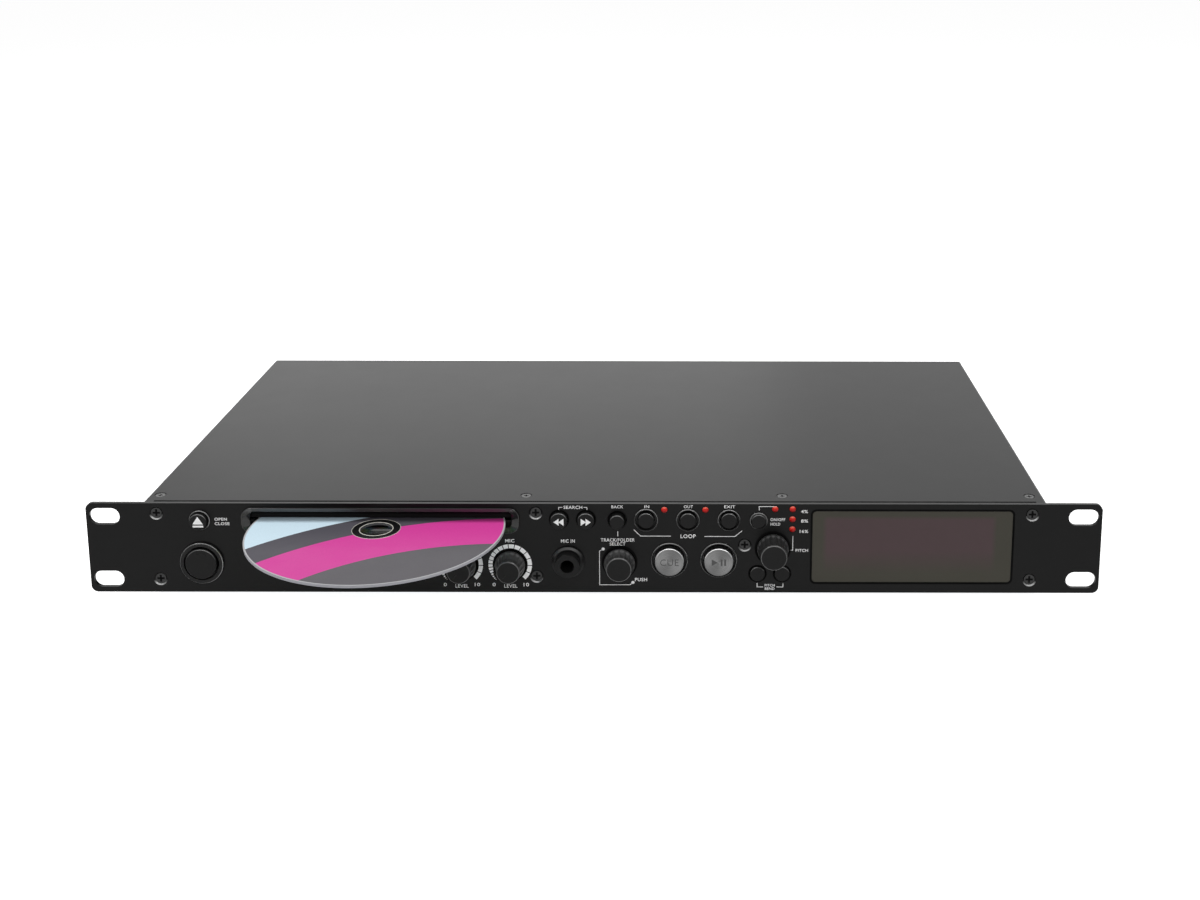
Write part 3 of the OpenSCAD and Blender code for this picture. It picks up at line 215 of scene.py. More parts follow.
def satin(name, face, rim, rough, metal=0.6, grain=0.0004, edge=0.0002, up=True, side=None, top=0.0):
    """Black finish, dull on flat faces, with a painted sheen on the roundings and slopes between them, where
    the colour turns to the lighter, metallic rim.

    With up the painted highlight is only on the slopes that look up, and faces that lie level have a share
    top of it.
    side is the tone of the flanks, where it isn't that of the faces.
    """
    look = Look(name, rough, 0.0, 0.1)
    _, across, height = look.axes(look.normal)
    turn = look.math("ABSOLUTE", across)
    off_face = look.between(turn, 1.0, 0.0, 0.9, 0.985)
    off_flank = look.between(turn, 0.0, 1.0, 0.12, 0.4)
    # painted sheen: roundings and slopes between faces and flanks take the rim's lighter colour and a
    # metallic share
    painted_sheen = look.math("MULTIPLY", off_face, off_flank)
    if up:
        # painted highlight: only slopes that look up keep it, and level faces get a share top of it
        painted_sheen = look.math("MULTIPLY", painted_sheen, look.between(height, 0.0, 1.0, 0.15, 0.5))
        painted_sheen = look.math("MAXIMUM", painted_sheen, look.between(height, 0.0, top, 0.9, 0.98))
    cloud = look.noise(0.012, 3.0)
    dull = look.ramp(cloud, [(0.3, shaded(face, 0.9)), (0.7, shaded(face, 1.1))])
    if side:
        dull = look.mix(look.between(turn, 1.0, 0.0, 0.2, 0.5), dull, side)
    look.to("Base Color", look.mix(painted_sheen, dull, rim))
    look.to("Metallic", look.math("MULTIPLY", painted_sheen, metal))
    look.to("Roughness", look.between(cloud, rough * 0.9, rough * 1.1))
    look.relief(look.noise(grain, 2.0), 0.00002, 0.25, edge)
    return look.mat


def brushed(name, colour, rough, stretch, edge=0.0):
    """Metal with fine lines drawn out along the axis whose stretch is small."""
    look = Look(name, rough, 1.0)
    lines = look.noise(0.0003, 3.0, look.scaled(stretch))
    look.to("Base Color", look.ramp(lines, [(0.3, shaded(colour, 0.85)), (0.7, shaded(colour, 1.15))]))
    look.to("Roughness", look.between(lines, rough * 0.8, rough * 1.25))
    look.relief(lines, 0.000008, 0.4, edge)
    return look.mat


def zinc(name, colour):
    """Zinc plate with its faint spangle."""
    rough = 0.38
    look = Look(name, rough, 1.0)
    cells = look.node("ShaderNodeTexVoronoi", Vector=look.place, Scale=220.0, Randomness=1.0)
    shade = look.axes(cells.outputs["Color"])[0]
    look.to("Base Color", look.ramp(shade, [(0.0, shaded(colour, 0.84)), (1.0, colour)]))
    look.to("Roughness", look.between(shade, rough * 0.8, rough * 1.3, 0.0, 1.0))
    look.relief(look.noise(0.0006, 2.0), 0.00001, 0.3)
    return look.mat


def board(name, colour):
    """Circuit board: solder mask over traces that show as a slightly lighter green."""
    look = Look(name, 0.3, 0.0, 0.5, 0.3)
    bricks = look.node("ShaderNodeTexBrick", {"offset": 0.37, "squash": 1.6, "squash_frequency": 3},
                       Vector=look.scaled((1, 1, 1), (math.pi / 2, 0, 0)), Scale=170.0,
                       Mortar_Size=0.035, Mortar_Smooth=0.2).outputs["Fac"]
    look.to("Base Color", look.mix(bricks, colour, shaded(colour, 1.9)))
    look.relief(bricks, 0.00003, 0.6)
    return look.mat


def spun(name, colour, rough):
    """Turned face: fine rings round an axis along Y, a fan of light and dark painted by angle, and a painted
    highlight on the rim where it faces up.
    """
    look = Look(name, rough, 1.0, Anisotropic=0.9)
    tangent = look.node("ShaderNodeTangent", {"direction_type": "RADIAL", "axis": "Y"}).outputs[0]
    look.to("Tangent", tangent)
    centred = look.node("ShaderNodeTexCoord").outputs["Generated"]
    moved = look.node("ShaderNodeMapping", Vector=centred, Location=(-0.5, 0, -0.5)).outputs[0]
    x, _, z = look.axes(moved)
    rings = look.lines(look.length(x, z), 90.0, 3.0)
    _, across, height = look.axes(look.normal)
    rim = look.between(look.math("ABSOLUTE", across), 1.0, 0.0, 0.9, 0.99)
    # painted highlight: the rim is dark where it faces down and bright where it faces up
    edge = look.ramp(height, [(0.0, tone(60)), (0.35, tone(225))])
    face = look.ramp(rings, [(0.35, shaded(colour, 0.7)), (0.65, shaded(colour, 1.3))])
    # painted reflection: a fan of light and dark by angle round the axis
    turn = look.math("MULTIPLY", look.math("ARCTAN2", z, x), 2.0)
    painted_fan = look.between(look.math("COSINE", look.math("ADD", turn, 0.9)), 0.0, 1.0, -1.0, 1.0)
    face = look.times(face, look.ramp(painted_fan, [(0.0, even(0.8)), (1.0, even(1.22))]))
    look.to("Base Color", look.mix(rim, face, edge))
    look.to("Roughness", look.between(rings, rough * 0.8, rough * 1.2))
    look.relief(rings, 0.00002, 0.3, 0.00025)
    return look.mat


def disc_look():
    """Printed label in curved bands, a clear rim, a hub painted near black as the shade seen through it, and
    a mirrored underside whose diffraction colours are painted by angle and radius.
    """
    look = Look("disc_print", 0.36, 0.0, 0.07)
    x, y, _ = look.axes()
    label_edge, hub_edge = 0.0593, 0.0114
    dx = look.math("ADD", x, -SLOT_X * MM)
    dy = look.math("ADD", y, -DISC_Y * MM)
    radius = look.length(dx, dy)
    # the bands are arcs round a point outside the disc
    sweep = look.length(look.math("SUBTRACT", dx, 0.062), look.math("ADD", dy, 0.128))
    sweep = look.math("MULTIPLY", sweep, 5.0)
    dark, slate = tone(82, 80, 87), tone(93, 91, 95)
    magenta, blue = tone(208, 66, 153), tone(206, 228, 240)
    bands = look.ramp(sweep, [(0.0, slate), (0.555, magenta), (0.70, dark), (0.785, blue)], hard=True)
    fleck = look.ramp(look.noise(0.0005, 2.0), [(0.3, even(0.93)), (0.7, even(1))])
    # the clear hub is painted near black: painted shade seen through it
    rim, painted_hub_shade = tone(176, 176, 178), tone(16, 16, 17)
    printed = look.mix(look.math("GREATER_THAN", radius, label_edge), look.times(bands, fleck), rim)
    printed = look.mix(look.math("LESS_THAN", radius, hub_edge), printed, painted_hub_shade)
    # painted reflection: the underside's diffraction colours, by angle and radius
    angle = look.math("ARCTAN2", dy, dx)
    hue = look.math("FRACT", look.math("ADD", look.math("MULTIPLY", angle, 0.955),
                                       look.math("MULTIPLY", radius, 6.0)))
    painted_diffraction = look.ramp(hue, [(0.0, tone(190, 200, 210)), (0.2, tone(150, 190, 235)),
                              (0.4, tone(170, 225, 180)), (0.6, tone(235, 225, 160)),
                              (0.8, tone(235, 170, 190)), (1.0, tone(190, 200, 210))])
    facing = look.axes(look.node("ShaderNodeNewGeometry").outputs["Normal"])[2]
    top = look.math("GREATER_THAN", facing, 0.5)
    under = look.math("LESS_THAN", facing, -0.5)
    # painted shade: the hole's wall is darker than the disc's outer edge
    side = look.mix(look.math("LESS_THAN", radius, 0.02), tone(160, 160, 166), tone(70, 70, 72))
    look.to("Base Color", look.mix(under, look.mix(top, side, printed), painted_diffraction))
    look.to("Metallic", look.math("MULTIPLY", under, 0.9))
    look.to("Roughness", look.between(look.noise(0.01), 0.32, 0.4))
    look.relief(look.lines(radius, 9000.0), 0.000003, 0.15)
    return look.mat


def glass_stack(name, rough, spec, coat):
    """Display that is off: an olive polariser round a purplish matrix that fades towards its foot."""
    look = Look(name, rough, 0.0, spec, coat, **{"Coat Roughness": 0.05})
    x, _, z = look.axes()
    across = look.math("ABSOLUTE", look.math("SUBTRACT", x, 0.1499))
    up = look.math("SUBTRACT", z, 0.0024)
    inside = look.math("MULTIPLY", look.between(across, 1.0, 0.0, 0.0392, 0.0416),
                       look.between(up, 1.0, 0.0, 0.0122, 0.0142))
    inside = look.math("MULTIPLY", inside, look.between(up, 0.0, 1.0, -0.0150, -0.0030))
    upright = look.scaled((1, 1, 1), (math.pi / 2, 0, 0))
    cells = look.node("ShaderNodeTexBrick", {"offset": 0.0}, Vector=upright, Scale=1500.0,
                      Mortar_Size=0.05, Brick_Width=0.5, Row_Height=0.5).outputs["Fac"]
    active = look.mix(cells, LCD_ACTIVE, LCD_GAP)
    cloud = look.ramp(look.noise(0.03), [(0.3, LCD_BORDER), (0.7, shaded(LCD_BORDER, 1.08))])
    look.to("Base Color", look.mix(inside, cloud, active))
    look.relief(look.noise(0.003), 0.000005, 0.1, 0.0001)
    return look.mat


def led_look():
    """Red lens that scatters, with a clear skin; painted dark where it faces down and painted lighter, up to
    a highlight, where it faces up.
    """
    look = Look("led_red", 0.12, 0.0, 0.12)
    height = look.axes(look.normal)[2]
    # painted light and shade: dark where the lens faces down, light with a highlight where it faces up
    body = look.ramp(look.between(height, 0.0, 1.0, -0.6, 0.7),
                     [(0.0, tone(84, 6, 5)), (0.4, tone(178, 14, 10)), (0.8, tone(214, 44, 34)),
                      (1.0, tone(238, 120, 104))])
    fleck = look.ramp(look.noise(0.0006), [(0.35, even(0.8)), (0.65, even(1))])
    look.to("Base Color", look.times(body, fleck))
    look.relief(look.noise(0.0007), 0.00004, 0.3)
    return look.mat


def screw_look():
    """Blackened screw: a painted highlight on the head's rim and on faces that look up, and painted shade in
    the cross recesses.
    """
    look = Look("screw_black", 0.32, 0.5, 0.3)
    _, across, height = look.axes(look.normal)
    depth = look.axes()[1]
    # painted shade: parts deeper than the head's face, in the cross recesses, are near black
    under_head = look.math("GREATER_THAN", depth, 0.0006)
    in_head = look.math("LESS_THAN", depth, 0.004)
    painted_recess_shade = look.math("MULTIPLY", under_head, in_head)
    # painted highlight on the head's rim and on faces that look up
    rim = look.between(look.math("ABSOLUTE", across), 1.0, 0.0, 0.85, 0.98)
    head = look.ramp(look.noise(0.0008), [(0.3, tone(38)), (0.7, tone(48))])
    level = look.math("GREATER_THAN", height, 0.9)
    head = look.mix(look.math("MAXIMUM", rim, level), head, tone(100))
    look.to("Base Color", look.mix(painted_recess_shade, head, tone(4)))
    look.relief(look.noise(0.0004, 2.0), 0.00001, 0.3, 0.0002)
    return look.mat


def gloss_look():
    """Polished black rim: its lips that look down are painted lighter, as a painted reflection."""
    look = Look("black_gloss", 0.16, 0.0, 0.35)
    height = look.axes(look.normal)[2]
    cloud = look.noise(0.01)
    dull = look.ramp(cloud, [(0.3, tone(13)), (0.7, tone(17))])
    # painted reflection on the lips that look down
    painted_reflection = look.ramp(cloud, [(0.3, tone(76)), (0.7, tone(84))])
    look.to("Base Color", look.mix(look.between(height, 1.0, 0.0, -0.6, -0.3), dull, painted_reflection))
    look.to("Roughness", look.between(cloud, 0.14, 0.18))
    look.relief(look.noise(0.002), 0.00001, 0.05)
    return look.mat


def lip_look():
    """Flocked dust lip."""
    look = Look("black_lip", 0.95, 0.0, 0.05, **{"Sheen Weight": 0.1, "Sheen Roughness": 0.6})
    look.colour(tone(14), 0.2, 0.0006)
    look.relief(look.noise(0.00025, 3.0), 0.0001, 0.8)
    return look.mat


def coil_look():
    """Windings and cans of the power supply."""
    look = Look("transformer", 0.4)
    tape = look.node("ShaderNodeTexWave", {"bands_direction": "Z"}, Vector=look.place, Scale=160.0,
                     Distortion=0.4, Detail=1.0).outputs["Fac"]
    look.to("Base Color", look.ramp(tape, [(0.2, tone(150, 120, 44)), (0.8, tone(206, 176, 86))]))
    look.relief(tape, 0.00006, 0.5, 0.0003)
    return look.mat


LCD_ACTIVE, LCD_GAP, LCD_BORDER = tone(73, 57, 59), tone(66, 53, 55), tone(58, 56, 48)

looks = {
    "black_panel": satin("black_panel", tone(14), tone(140), 0.34, metal=1.0, grain=0.00045, top=0.18),
    "zinc_sheet": zinc("zinc_sheet", tone(176, 180, 184)),
    "black_gloss": gloss_look(),
    "black_lip": lip_look(),
    "window": glass_stack("window", 0.3, 0.1, 0.12),
    "lcd": glass_stack("lcd", 0.35, 0.3, 0.0),
    "board_green": board("board_green", tone(16, 74, 40)),
    "switch_black": coated("switch_black", tone(30), 0.45, edge=0.0001),
    "led_red": led_look(),
    "ring_black": satin("ring_black", tone(30), tone(112), 0.28, metal=0.8, edge=0.0002, up=False),
    "jack_black": satin("jack_black", tone(20), tone(84), 0.34, up=False),
    "nut_black": satin("nut_black", tone(20), tone(64), 0.3, metal=0.8),
    "pot_metal": brushed("pot_metal", tone(168, 170, 172), 0.35, (1, 0.05, 1)),
    "cover_paint": coated("cover_paint", tone(17), 0.32, 0.2, grain=0.0006, strength=0.25, spread=0.04,
                          wear=0.02, edge=0.0004),
    "screw_black": screw_look(),
    "foot_rubber": coated("foot_rubber", tone(24), 0.8, 0.3, grain=0.0006, strength=0.6, edge=0.0004),
    "chip_black": coated("chip_black", tone(34, 34, 38), 0.5, edge=0.0002),
    "transformer": coil_look(),
    "inlet_black": coated("inlet_black", tone(26), 0.4, edge=0.0004),
    "rca_gold": brushed("rca_gold", tone(214, 172, 84), 0.24, (1, 0.05, 1), edge=0.0002),
    "loader_steel": zinc("loader_steel", tone(160, 163, 166)),
    "guide_plastic": coated("guide_plastic", tone(44), 0.5, edge=0.0002),
    "motor_can": brushed("motor_can", tone(170, 172, 174), 0.3, (0.05, 1, 1), edge=0.0003),
    "disc_print": disc_look(),
    "roller_rubber": coated("roller_rubber", tone(40), 0.85, 0.3, grain=0.0005, strength=0.7),
    "gear_plastic": coated("gear_plastic", tone(216, 210, 192), 0.42, edge=0.0001),
    "cam_steel": brushed("cam_steel", tone(178, 180, 182), 0.32, (1, 0.05, 1), edge=0.0001),
    "traverse_sheet": zinc("traverse_sheet", tone(184, 186, 188)),
    "rod_steel": brushed("rod_steel", tone(204, 206, 208), 0.16, (1, 0.05, 1)),
    "turntable_black": coated("turntable_black", tone(36), 0.6, edge=0.0002),
    "sled_metal": coated("sled_metal", tone(150, 152, 154), 0.5, 0.5, 0.9, edge=0.0003),
    "lens": coated("lens", tone(40, 60, 96), 0.08, 0.8, strength=0.02, coat=1.0),
    "arm_steel": brushed("arm_steel", tone(178, 180, 182), 0.34, (1, 0.05, 1), edge=0.0001),
    "clamper_plastic": coated("clamper_plastic", tone(56), 0.45, edge=0.0002),
    "button_black": satin("button_black", tone(19), tone(108), 0.3, metal=0.6, grain=0.0003),
    "button_metal": spun("button_metal", tone(98), 0.34),
    "knob_black": satin("knob_black", tone(19), tone(92), 0.3, metal=0.35, grain=0.0003, edge=0.0, up=False,
                        side=tone(35)),
}
for name, node in nodes.items():
    for i, old in enumerate(node.data.materials):
        slot = old.name.split(".")[0]
        if slot not in looks:
            raise SystemExit(f"{name} has no look for slot {slot}")
        node.data.materials[i] = looks[slot]

white_print = coated("white_print", tone(240), 0.55, 0.3, grain=0.0002, strength=0.2, spread=0.03)
etched = coated("etched", tone(66), 0.5, 0.3, 0.8, grain=0.0002, strength=0.4, spread=0.1)
# painted shade: near black for gaps, seams and recesses
painted_shade_black = coated("painted_shade_black", tone(5), 0.8, 0.05, grain=0.0004, strength=0.2)


# ---------- shapes ----------

class Shape:
    """Points in millimetres and faces, gathered until they become one piece."""

    def __init__(self):
        self.points, self.faces = [], []

    def add(self, points, faces):
        start = len(self.points)
        self.points += points
        self.faces += [[start + i for i in face] for face in faces]

    def rings(self, rings, closed=False):
        """Skin over rings of equally many points, with end faces unless the last ring joins the first."""
        n, m = len(rings), len(rings[0])
        faces = []
        for i in range(n if closed else n - 1):
            for j in range(m):
                a, b = i * m + j, i * m + (j + 1) % m
                c, d = (i + 1) % n * m + (j + 1) % m, (i + 1) % n * m + j
                faces.append([a, b, c, d])
        if not closed:
            faces.append(list(range(m))[::-1])
            faces.append([(n - 1) * m + j for j in range(m)])
        self.add([p for ring in rings for p in ring], faces)

    def plate(self, outline, front, back):
        """Flat plate with that outline in x and z, between two depths y."""
        self.rings([[(x, front, z) for x, z in outline], [(x, back, z) for x, z in outline]])

    def piece(self, name, look, body="player", slot=None, smooth=35):
        mesh = bpy.data.meshes.new(name)
        mesh.from_pydata([(x * MM, y * MM, z * MM) for x, y, z in self.points], [], self.faces)
        work = bmesh.new()
        work.from_mesh(mesh)
        bmesh.ops.remove_doubles(work, verts=work.verts, dist=1e-8)
        bmesh.ops.recalc_face_normals(work, faces=work.faces)
        work.to_mesh(mesh)
        work.free()
        mesh.polygons.foreach_set("use_smooth", [True] * len(mesh.polygons))
        mesh.set_sharp_from_angle(angle=math.radians(smooth))
        mesh.materials.append(look)
        made = bpy.data.objects.new(name, mesh)
        scene.collection.objects.link(made)
        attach(made, body)
        return made


def turned(shape, x, z, profile, steps, cut):
    """Profile of (radius, y) points turned round an axis along Y; cut(angle, y) takes from the radius."""
    rings = []
    for radius, y in profile:
        ring = []
        for j in range(steps):
            a = 2 * math.pi * j / steps
            r = max(radius - cut(a, y), 0.001)
            ring.append((x + r * math.cos(a), y, z + r * math.sin(a)))
        rings.append(ring)
    shape.rings(rings)


def round_rect(w, h, r, steps=8):
    """Outline of a rectangle with round corners, about the origin."""
    out = []
    for cx, cz, start in ((w / 2 - r, h / 2 - r, 0), (r - w / 2, h / 2 - r, 90),
                          (r - w / 2, r - h / 2, 180), (w / 2 - r, r - h / 2, 270)):
        for i in range(steps + 1):
            a = math.radians(start + 90 * i / steps)
            out.append((cx + r * math.cos(a), cz + r * math.sin(a)))
    return out


def circle(x, z, r, steps=24):
    return [(x + r * math.cos(2 * math.pi * i / steps), z + r * math.sin(2 * math.pi * i / steps))
            for i in range(steps)]


# ---------- print ----------

PRINT_T = 0.03


class Print(Shape):
    """Ink on a face at depth y."""

    def __init__(self, face=0.0):
        super().__init__()
        self.front, self.back = face - PRINT_T, face + 0.01

    def area(self, outline):
        self.plate(outline, self.front, self.back)

    def frame(self, outer, inner):
        """Band between two outlines of equally many points."""
        rings = [[(x, y, z) for x, z in outline] for outline, y in (
            (outer, self.front), (outer, self.back), (inner, self.back), (inner, self.front))]
        self.rings(rings, closed=True)

    def line(self, *points, width=0.28):
        """Line through the points, with mitred corners."""
        left, right = [], []
        last = len(points) - 1
        for i, (x, z) in enumerate(points):
            before = Vector(points[i]) - Vector(points[i - 1]) if i else None
            after = Vector(points[i + 1]) - Vector(points[i]) if i < last else None
            d1 = (before or after).normalized()
            d2 = (after or before).normalized()
            side = Vector((-d1.y - d2.y, d1.x + d2.x)).normalized()
            reach = width / 2 / max(side.dot(Vector((-d1.y, d1.x))), 0.3)
            left.append((x + side.x * reach, z + side.y * reach))
            right.append((x - side.x * reach, z - side.y * reach))
        for i in range(last):
            self.area([left[i], left[i + 1], right[i + 1], right[i]])

    def word(self, text, x, z, width, height, bold=0.01):
        """Text whose capitals fill width by height round (x, z)."""
        curve = bpy.data.curves.new("word", "FONT")
        curve.body = text
        curve.offset = bold
        curve.space_character = 1.08
        curve.extrude = 0.5
        curve.resolution_u = 3
        made = bpy.data.objects.new("word", curve)
        scene.collection.objects.link(made)
        bpy.context.view_layer.update()
        mesh = bpy.data.meshes.new_from_object(made.evaluated_get(bpy.context.evaluated_depsgraph_get()))
        low = [min(v.co[i] for v in mesh.vertices) for i in range(2)]
        high = [max(v.co[i] for v in mesh.vertices) for i in range(2)]
        sx, sz = width / (high[0] - low[0]), height / (high[1] - low[1])
        points = []
        for v in mesh.vertices:
            points.append((x - width / 2 + (v.co.x - low[0]) * sx,
                           self.front if v.co.z > 0 else self.back,
                           z - height / 2 + (v.co.y - low[1]) * sz))
        self.add(points, [list(f.vertices) for f in mesh.polygons])
        bpy.data.objects.remove(made)
        bpy.data.curves.remove(curve)
        bpy.data.meshes.remove(mesh)


def level_scale(name, x, z):
    """Ring of segments round a level knob, from thin at 0 to broad at 10."""
    ink = Print()
    outer, start, gap = 10.4, 229.5, 2.4
    for k in range(20):
        span = 4.5 + 0.985 * k
        inner = outer - min(0.25 * 1.6 ** k, 2.0)
        a0, a1 = start - gap / 2, start - span + gap / 2
        n = max(2, round(span / 4))
        arc = [math.radians(a0 + (a1 - a0) * i / n) for i in range(n + 1)]
        ink.area([(x + outer * math.cos(a), z + outer * math.sin(a)) for a in arc]
                 + [(x + inner * math.cos(a), z + inner * math.sin(a)) for a in reversed(arc)])
        start -= span
    ink.word("LEVEL", x + 0.1, -19.3, 6.3, 1.75)
    ink.word("0", x - 7.9, -18.6, 1.5, 1.75)
    ink.word("10", x + 7.5, -18.6, 2.6, 1.75)
    ink.piece(name, white_print)


level_scale("mic_level_scale", *KNOBS["mic_level_knob"][:2])
level_scale("phones_level_scale", *KNOBS["phones_level_knob"][:2])

ink = Print()
ink.word("OPEN", -177.5, 14.5, 5.9, 1.45)
ink.word("CLOSE", -176.95, 12.25, 7.0, 1.45)
ink.word("SEARCH", -10.25, 20.75, 8.9, 1.6)
ink.line((-17.0, 19.3), (-17.0, 20.75), (-15.3, 20.75))
ink.line((-3.6, 19.3), (-3.6, 20.75), (-5.2, 20.75))
ink.word("BACK", 10.8, 21.05, 5.6, 1.45)
ink.line((10.93, 8.7), (10.93, 6.2))
ink.word("TRACK/FOLDER", 10.9, 4.3, 16.2, 1.7)
ink.word("SELECT", 10.8, 2.25, 7.5, 1.6)
ink.line((3.9, -0.3), (2.15, -1.35), (2.06, -18.6), (16.5, -18.6), (18.0, -17.4))
ink.area(circle(3.9, -0.3, 0.75))
ink.area(circle(18.0, -17.4, 0.75))
ink.word("PUSH", 21.9, -15.9, 5.8, 1.7)
ink.word("IN", 24.75, 21.15, 2.3, 1.4)
ink.word("OUT", 44.5, 21.15, 4.4, 1.4)
ink.word("EXIT", 64.1, 21.15, 5.2, 1.4)
ink.line((18.6, 9.5), (21.8, 6.3), (36.2, 6.3))
ink.line((52.2, 6.15), (66.7, 6.15), (70.1, 9.1))
ink.word("LOOP", 44.4, 6.25, 7.2, 1.9)
ink.line((78.1, 19.3), (78.1, 21.3), (86.3, 21.3))
ink.word("ON/OFF", 87.0, 14.7, 7.0, 1.45)
ink.word("HOLD", 85.85, 12.45, 4.6, 1.45)
ink.word("4%", 99.6, 18.8, 3.3, 1.6)
ink.word("8%", 99.7, 14.0, 3.3, 1.6)
ink.word("16%", 99.5, 8.8, 4.0, 1.6)
ink.line((94.3, 6.3), (94.3, -0.75), (92.4, -0.75))
ink.word("PITCH", 98.65, -0.9, 5.9, 1.5)
ink.line((77.5, -17.6), (77.5, -19.6), (80.4, -19.6))
ink.line((89.9, -17.6), (89.9, -19.6), (86.8, -19.6))
ink.word("PITCH", 83.55, -18.75, 4.8, 1.3)
ink.word("BEND", 83.55, -20.45, 4.6, 1.3)
ink.word("MIC", -40.55, 3.8, 4.4, 1.7)
ink.word("MIC IN", -12.85, 3.7, 6.6, 1.7)
ink.word("PHONES", -64.0, 3.8, 7.6, 1.7)
ink.piece("panel_print", white_print)

ink = Print(-3.0)
ink.area([(-187.5, 16.9), (-190.0, 13.1), (-185.0, 13.1)])
ink.area([(-190.0, 12.5), (-185.0, 12.5), (-185.0, 11.6), (-190.0, 11.6)])
ink.piece("open_close_icon", white_print, "open_close_button")


def arrows(name, x, z, way, body):
    """Two triangles that point along way on a search button."""
    ink = Print(-2.8)
    for step in (0, 1):
        tip = x + way * (2.46 - 2.3 * step)
        ink.area([(tip, z), (tip - way * 2.5, z + 1.77), (tip - way * 2.5, z - 1.77)])
    ink.piece(name, white_print, body)


arrows("search_back_icon", -16.9, 14.4, -1, "search_back_button")
arrows("search_forward_icon", -4.1, 14.4, 1, "search_forward_button")


ink = Print(-3.3)
ink.word("CUE", 35.5, -5.75, 8.8, 3.3, bold=0.0)
ink.piece("cue_mark", etched, "cue_button")

ink = Print(-3.3)
ink.area([(55.6, -4.1), (55.6, -7.4), (58.6, -5.75)])
for left in (59.9, 61.6):
    ink.area([(left, -4.1), (left, -7.4), (left + 0.9, -7.4), (left + 0.9, -4.1)])
ink.piece("play_mark", etched, "play_button")


def painted_shade_gaps():
    """Painted shade: near-black rings for the clearance round the controls, a near-black seam round the
    display window, and near-black crosses in the screws' recesses.
    """
    screws = [(-208, 17.5), (-208, -15.8), (-28, 17.9), (-28, -14.3), (71.4, 1.8), (208, 17.3), (208, -15.8)]
    ink = Print()
    for x, z, r in KNOBS.values():
        ink.frame(circle(x, z, r + 1.15, 72), circle(x, z, r - 1.2, 72))
    buttons = [(-16.9, 14.7, 4.3), (-4.1, 14.7, 4.3), (10.7, 14.5, 3.8),
               (77.6, -12.75, 3.9), (89.4, -12.75, 3.9)]
    for x, z, r in buttons:
        ink.frame(circle(x, z, r + 0.55, 60), circle(x, z, r, 60))
    window_x, window_z = 151.2, 0.9
    outer = [(x + window_x, z + window_z) for x, z in round_rect(97.1, 38.0, 2.8)]
    inner = [(x + window_x, z + window_z) for x, z in round_rect(95.2, 36.1, 1.95)]
    ink.frame(outer, inner)
    ink.piece("control_gap_shade", painted_shade_black)
    a, b = 1.75, 0.46   # half the length and half the width of a cross's arm
    arms = [(b, b), (b, a), (-b, a), (-b, b), (-a, b), (-a, -b),
            (-b, -b), (-b, -a), (b, -a), (b, -b), (a, -b), (a, b)]
    shape = Shape()
    for x, z in screws:
        shape.rings([[(x + u, y, z + v) for u, v in arms] for y in (0.41, 0.46)])
    shape.piece("screw_cross_shade", painted_shade_black)


painted_shade_gaps()


# ---------- knobs ----------

def knob(name, face_r, proud, gap, ribs, pointer=None):
    """Tapered knob with scalloped sides, a dished face and its shaft, in the place of the plain one."""
    x, z, base_r = KNOBS[name]
    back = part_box(name)[1].y / MM

    def scallop(angle, y):
        from_face = min(1.0, max(0.0, (proud + y - 0.7) / 2.2))
        from_base = min(1.0, max(0.0, (-gap - 1.1 - y) / 1.2))
        depth = 0.42 * from_face * from_base
        wave = 0.5 + 0.5 * math.cos(ribs * angle)
        return depth * (1 - wave ** 2)

    side = []
    for i in range(13):
        t = i / 12
        y = -proud + 0.7 + (proud - gap - 1.7) * t
        side.append((face_r + (base_r - face_r) * (0.05 + 0.95 * t), y))
    profile = [(0.0, 0.16 - proud), (face_r - 1.8, 0.13 - proud), (face_r - 0.9, 0.03 - proud),
               (face_r - 0.6, -proud), (face_r - 0.36, 0.04 - proud), (face_r - 0.18, 0.14 - proud),
               (face_r - 0.05, 0.34 - proud)] + side + [
               (base_r, -gap - 0.25), (base_r - 0.2, -gap), (3.0, -gap), (3.0, back), (0.0, back)]
    shape = Shape()
    turned(shape, x, z, profile, ribs * 8, scallop)
    made = shape.piece(name + "_body", looks["knob_black"], name, "knob_black", 40)
    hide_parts(name)
    if pointer is not None:
        mark = Print(0.13 - proud)
        a = math.radians(pointer)
        mark.line((x + 1.6 * math.cos(a), z + 1.6 * math.sin(a)),
                  (x + (face_r - 1.5) * math.cos(a), z + (face_r - 1.5) * math.sin(a)), width=0.5)
        mark.piece(name + "_pointer", looks["ring_black"], name)


knob("mic_level_knob", 5.5, 9.4, 0.6, 16, 230)
knob("phones_level_knob", 5.5, 9.4, 0.6, 16, 230)
knob("track_select_knob", 6.0, 9.0, 1.3, 16)
knob("pitch_knob", 6.2, 11.4, 0.6, 18)


# ---------- slot ----------

def bezel():
    """Rim of the disc slot: a rolled lip that slopes into the mouth."""
    slot_w, slot_h = 125.8, 8.8
    # share of the way from the mouth to the rim's outside, and depth y in mm
    levels = [(-0.15, 2.0), (-0.28, 1.2), (-0.3, 0.8), (-0.25, 0.5), (-0.1, 0.2), (0.2, -0.2),
              (0.5, -0.56), (0.72, -0.9), (0.8, -1.1), (0.87, -1.15), (0.93, -1.06), (0.98, -0.76),
              (1.0, -0.4), (1.0, 0.02)]
    rings = []
    for t, y in levels:
        outline = round_rect(slot_w + 6.4 * t, slot_h + 4 * t, 2.4 + 2.6 * t, 12)
        rings.append([(x + SLOT_X, y, z + SLOT_Z) for x, z in outline])
    outline = round_rect(slot_w + 1.7, slot_h + 1.7, 3.0, 12)
    for y in (0.02, 2.0):
        rings.append([(x + SLOT_X, y, z + SLOT_Z) for x, z in outline])
    shape = Shape()
    shape.rings(rings, closed=True)
    made = shape.piece("slot_bezel_rim", looks["black_gloss"], "player", "black_gloss", 50)
    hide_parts("slot_bezel")


bezel()


# ---------- disc ----------

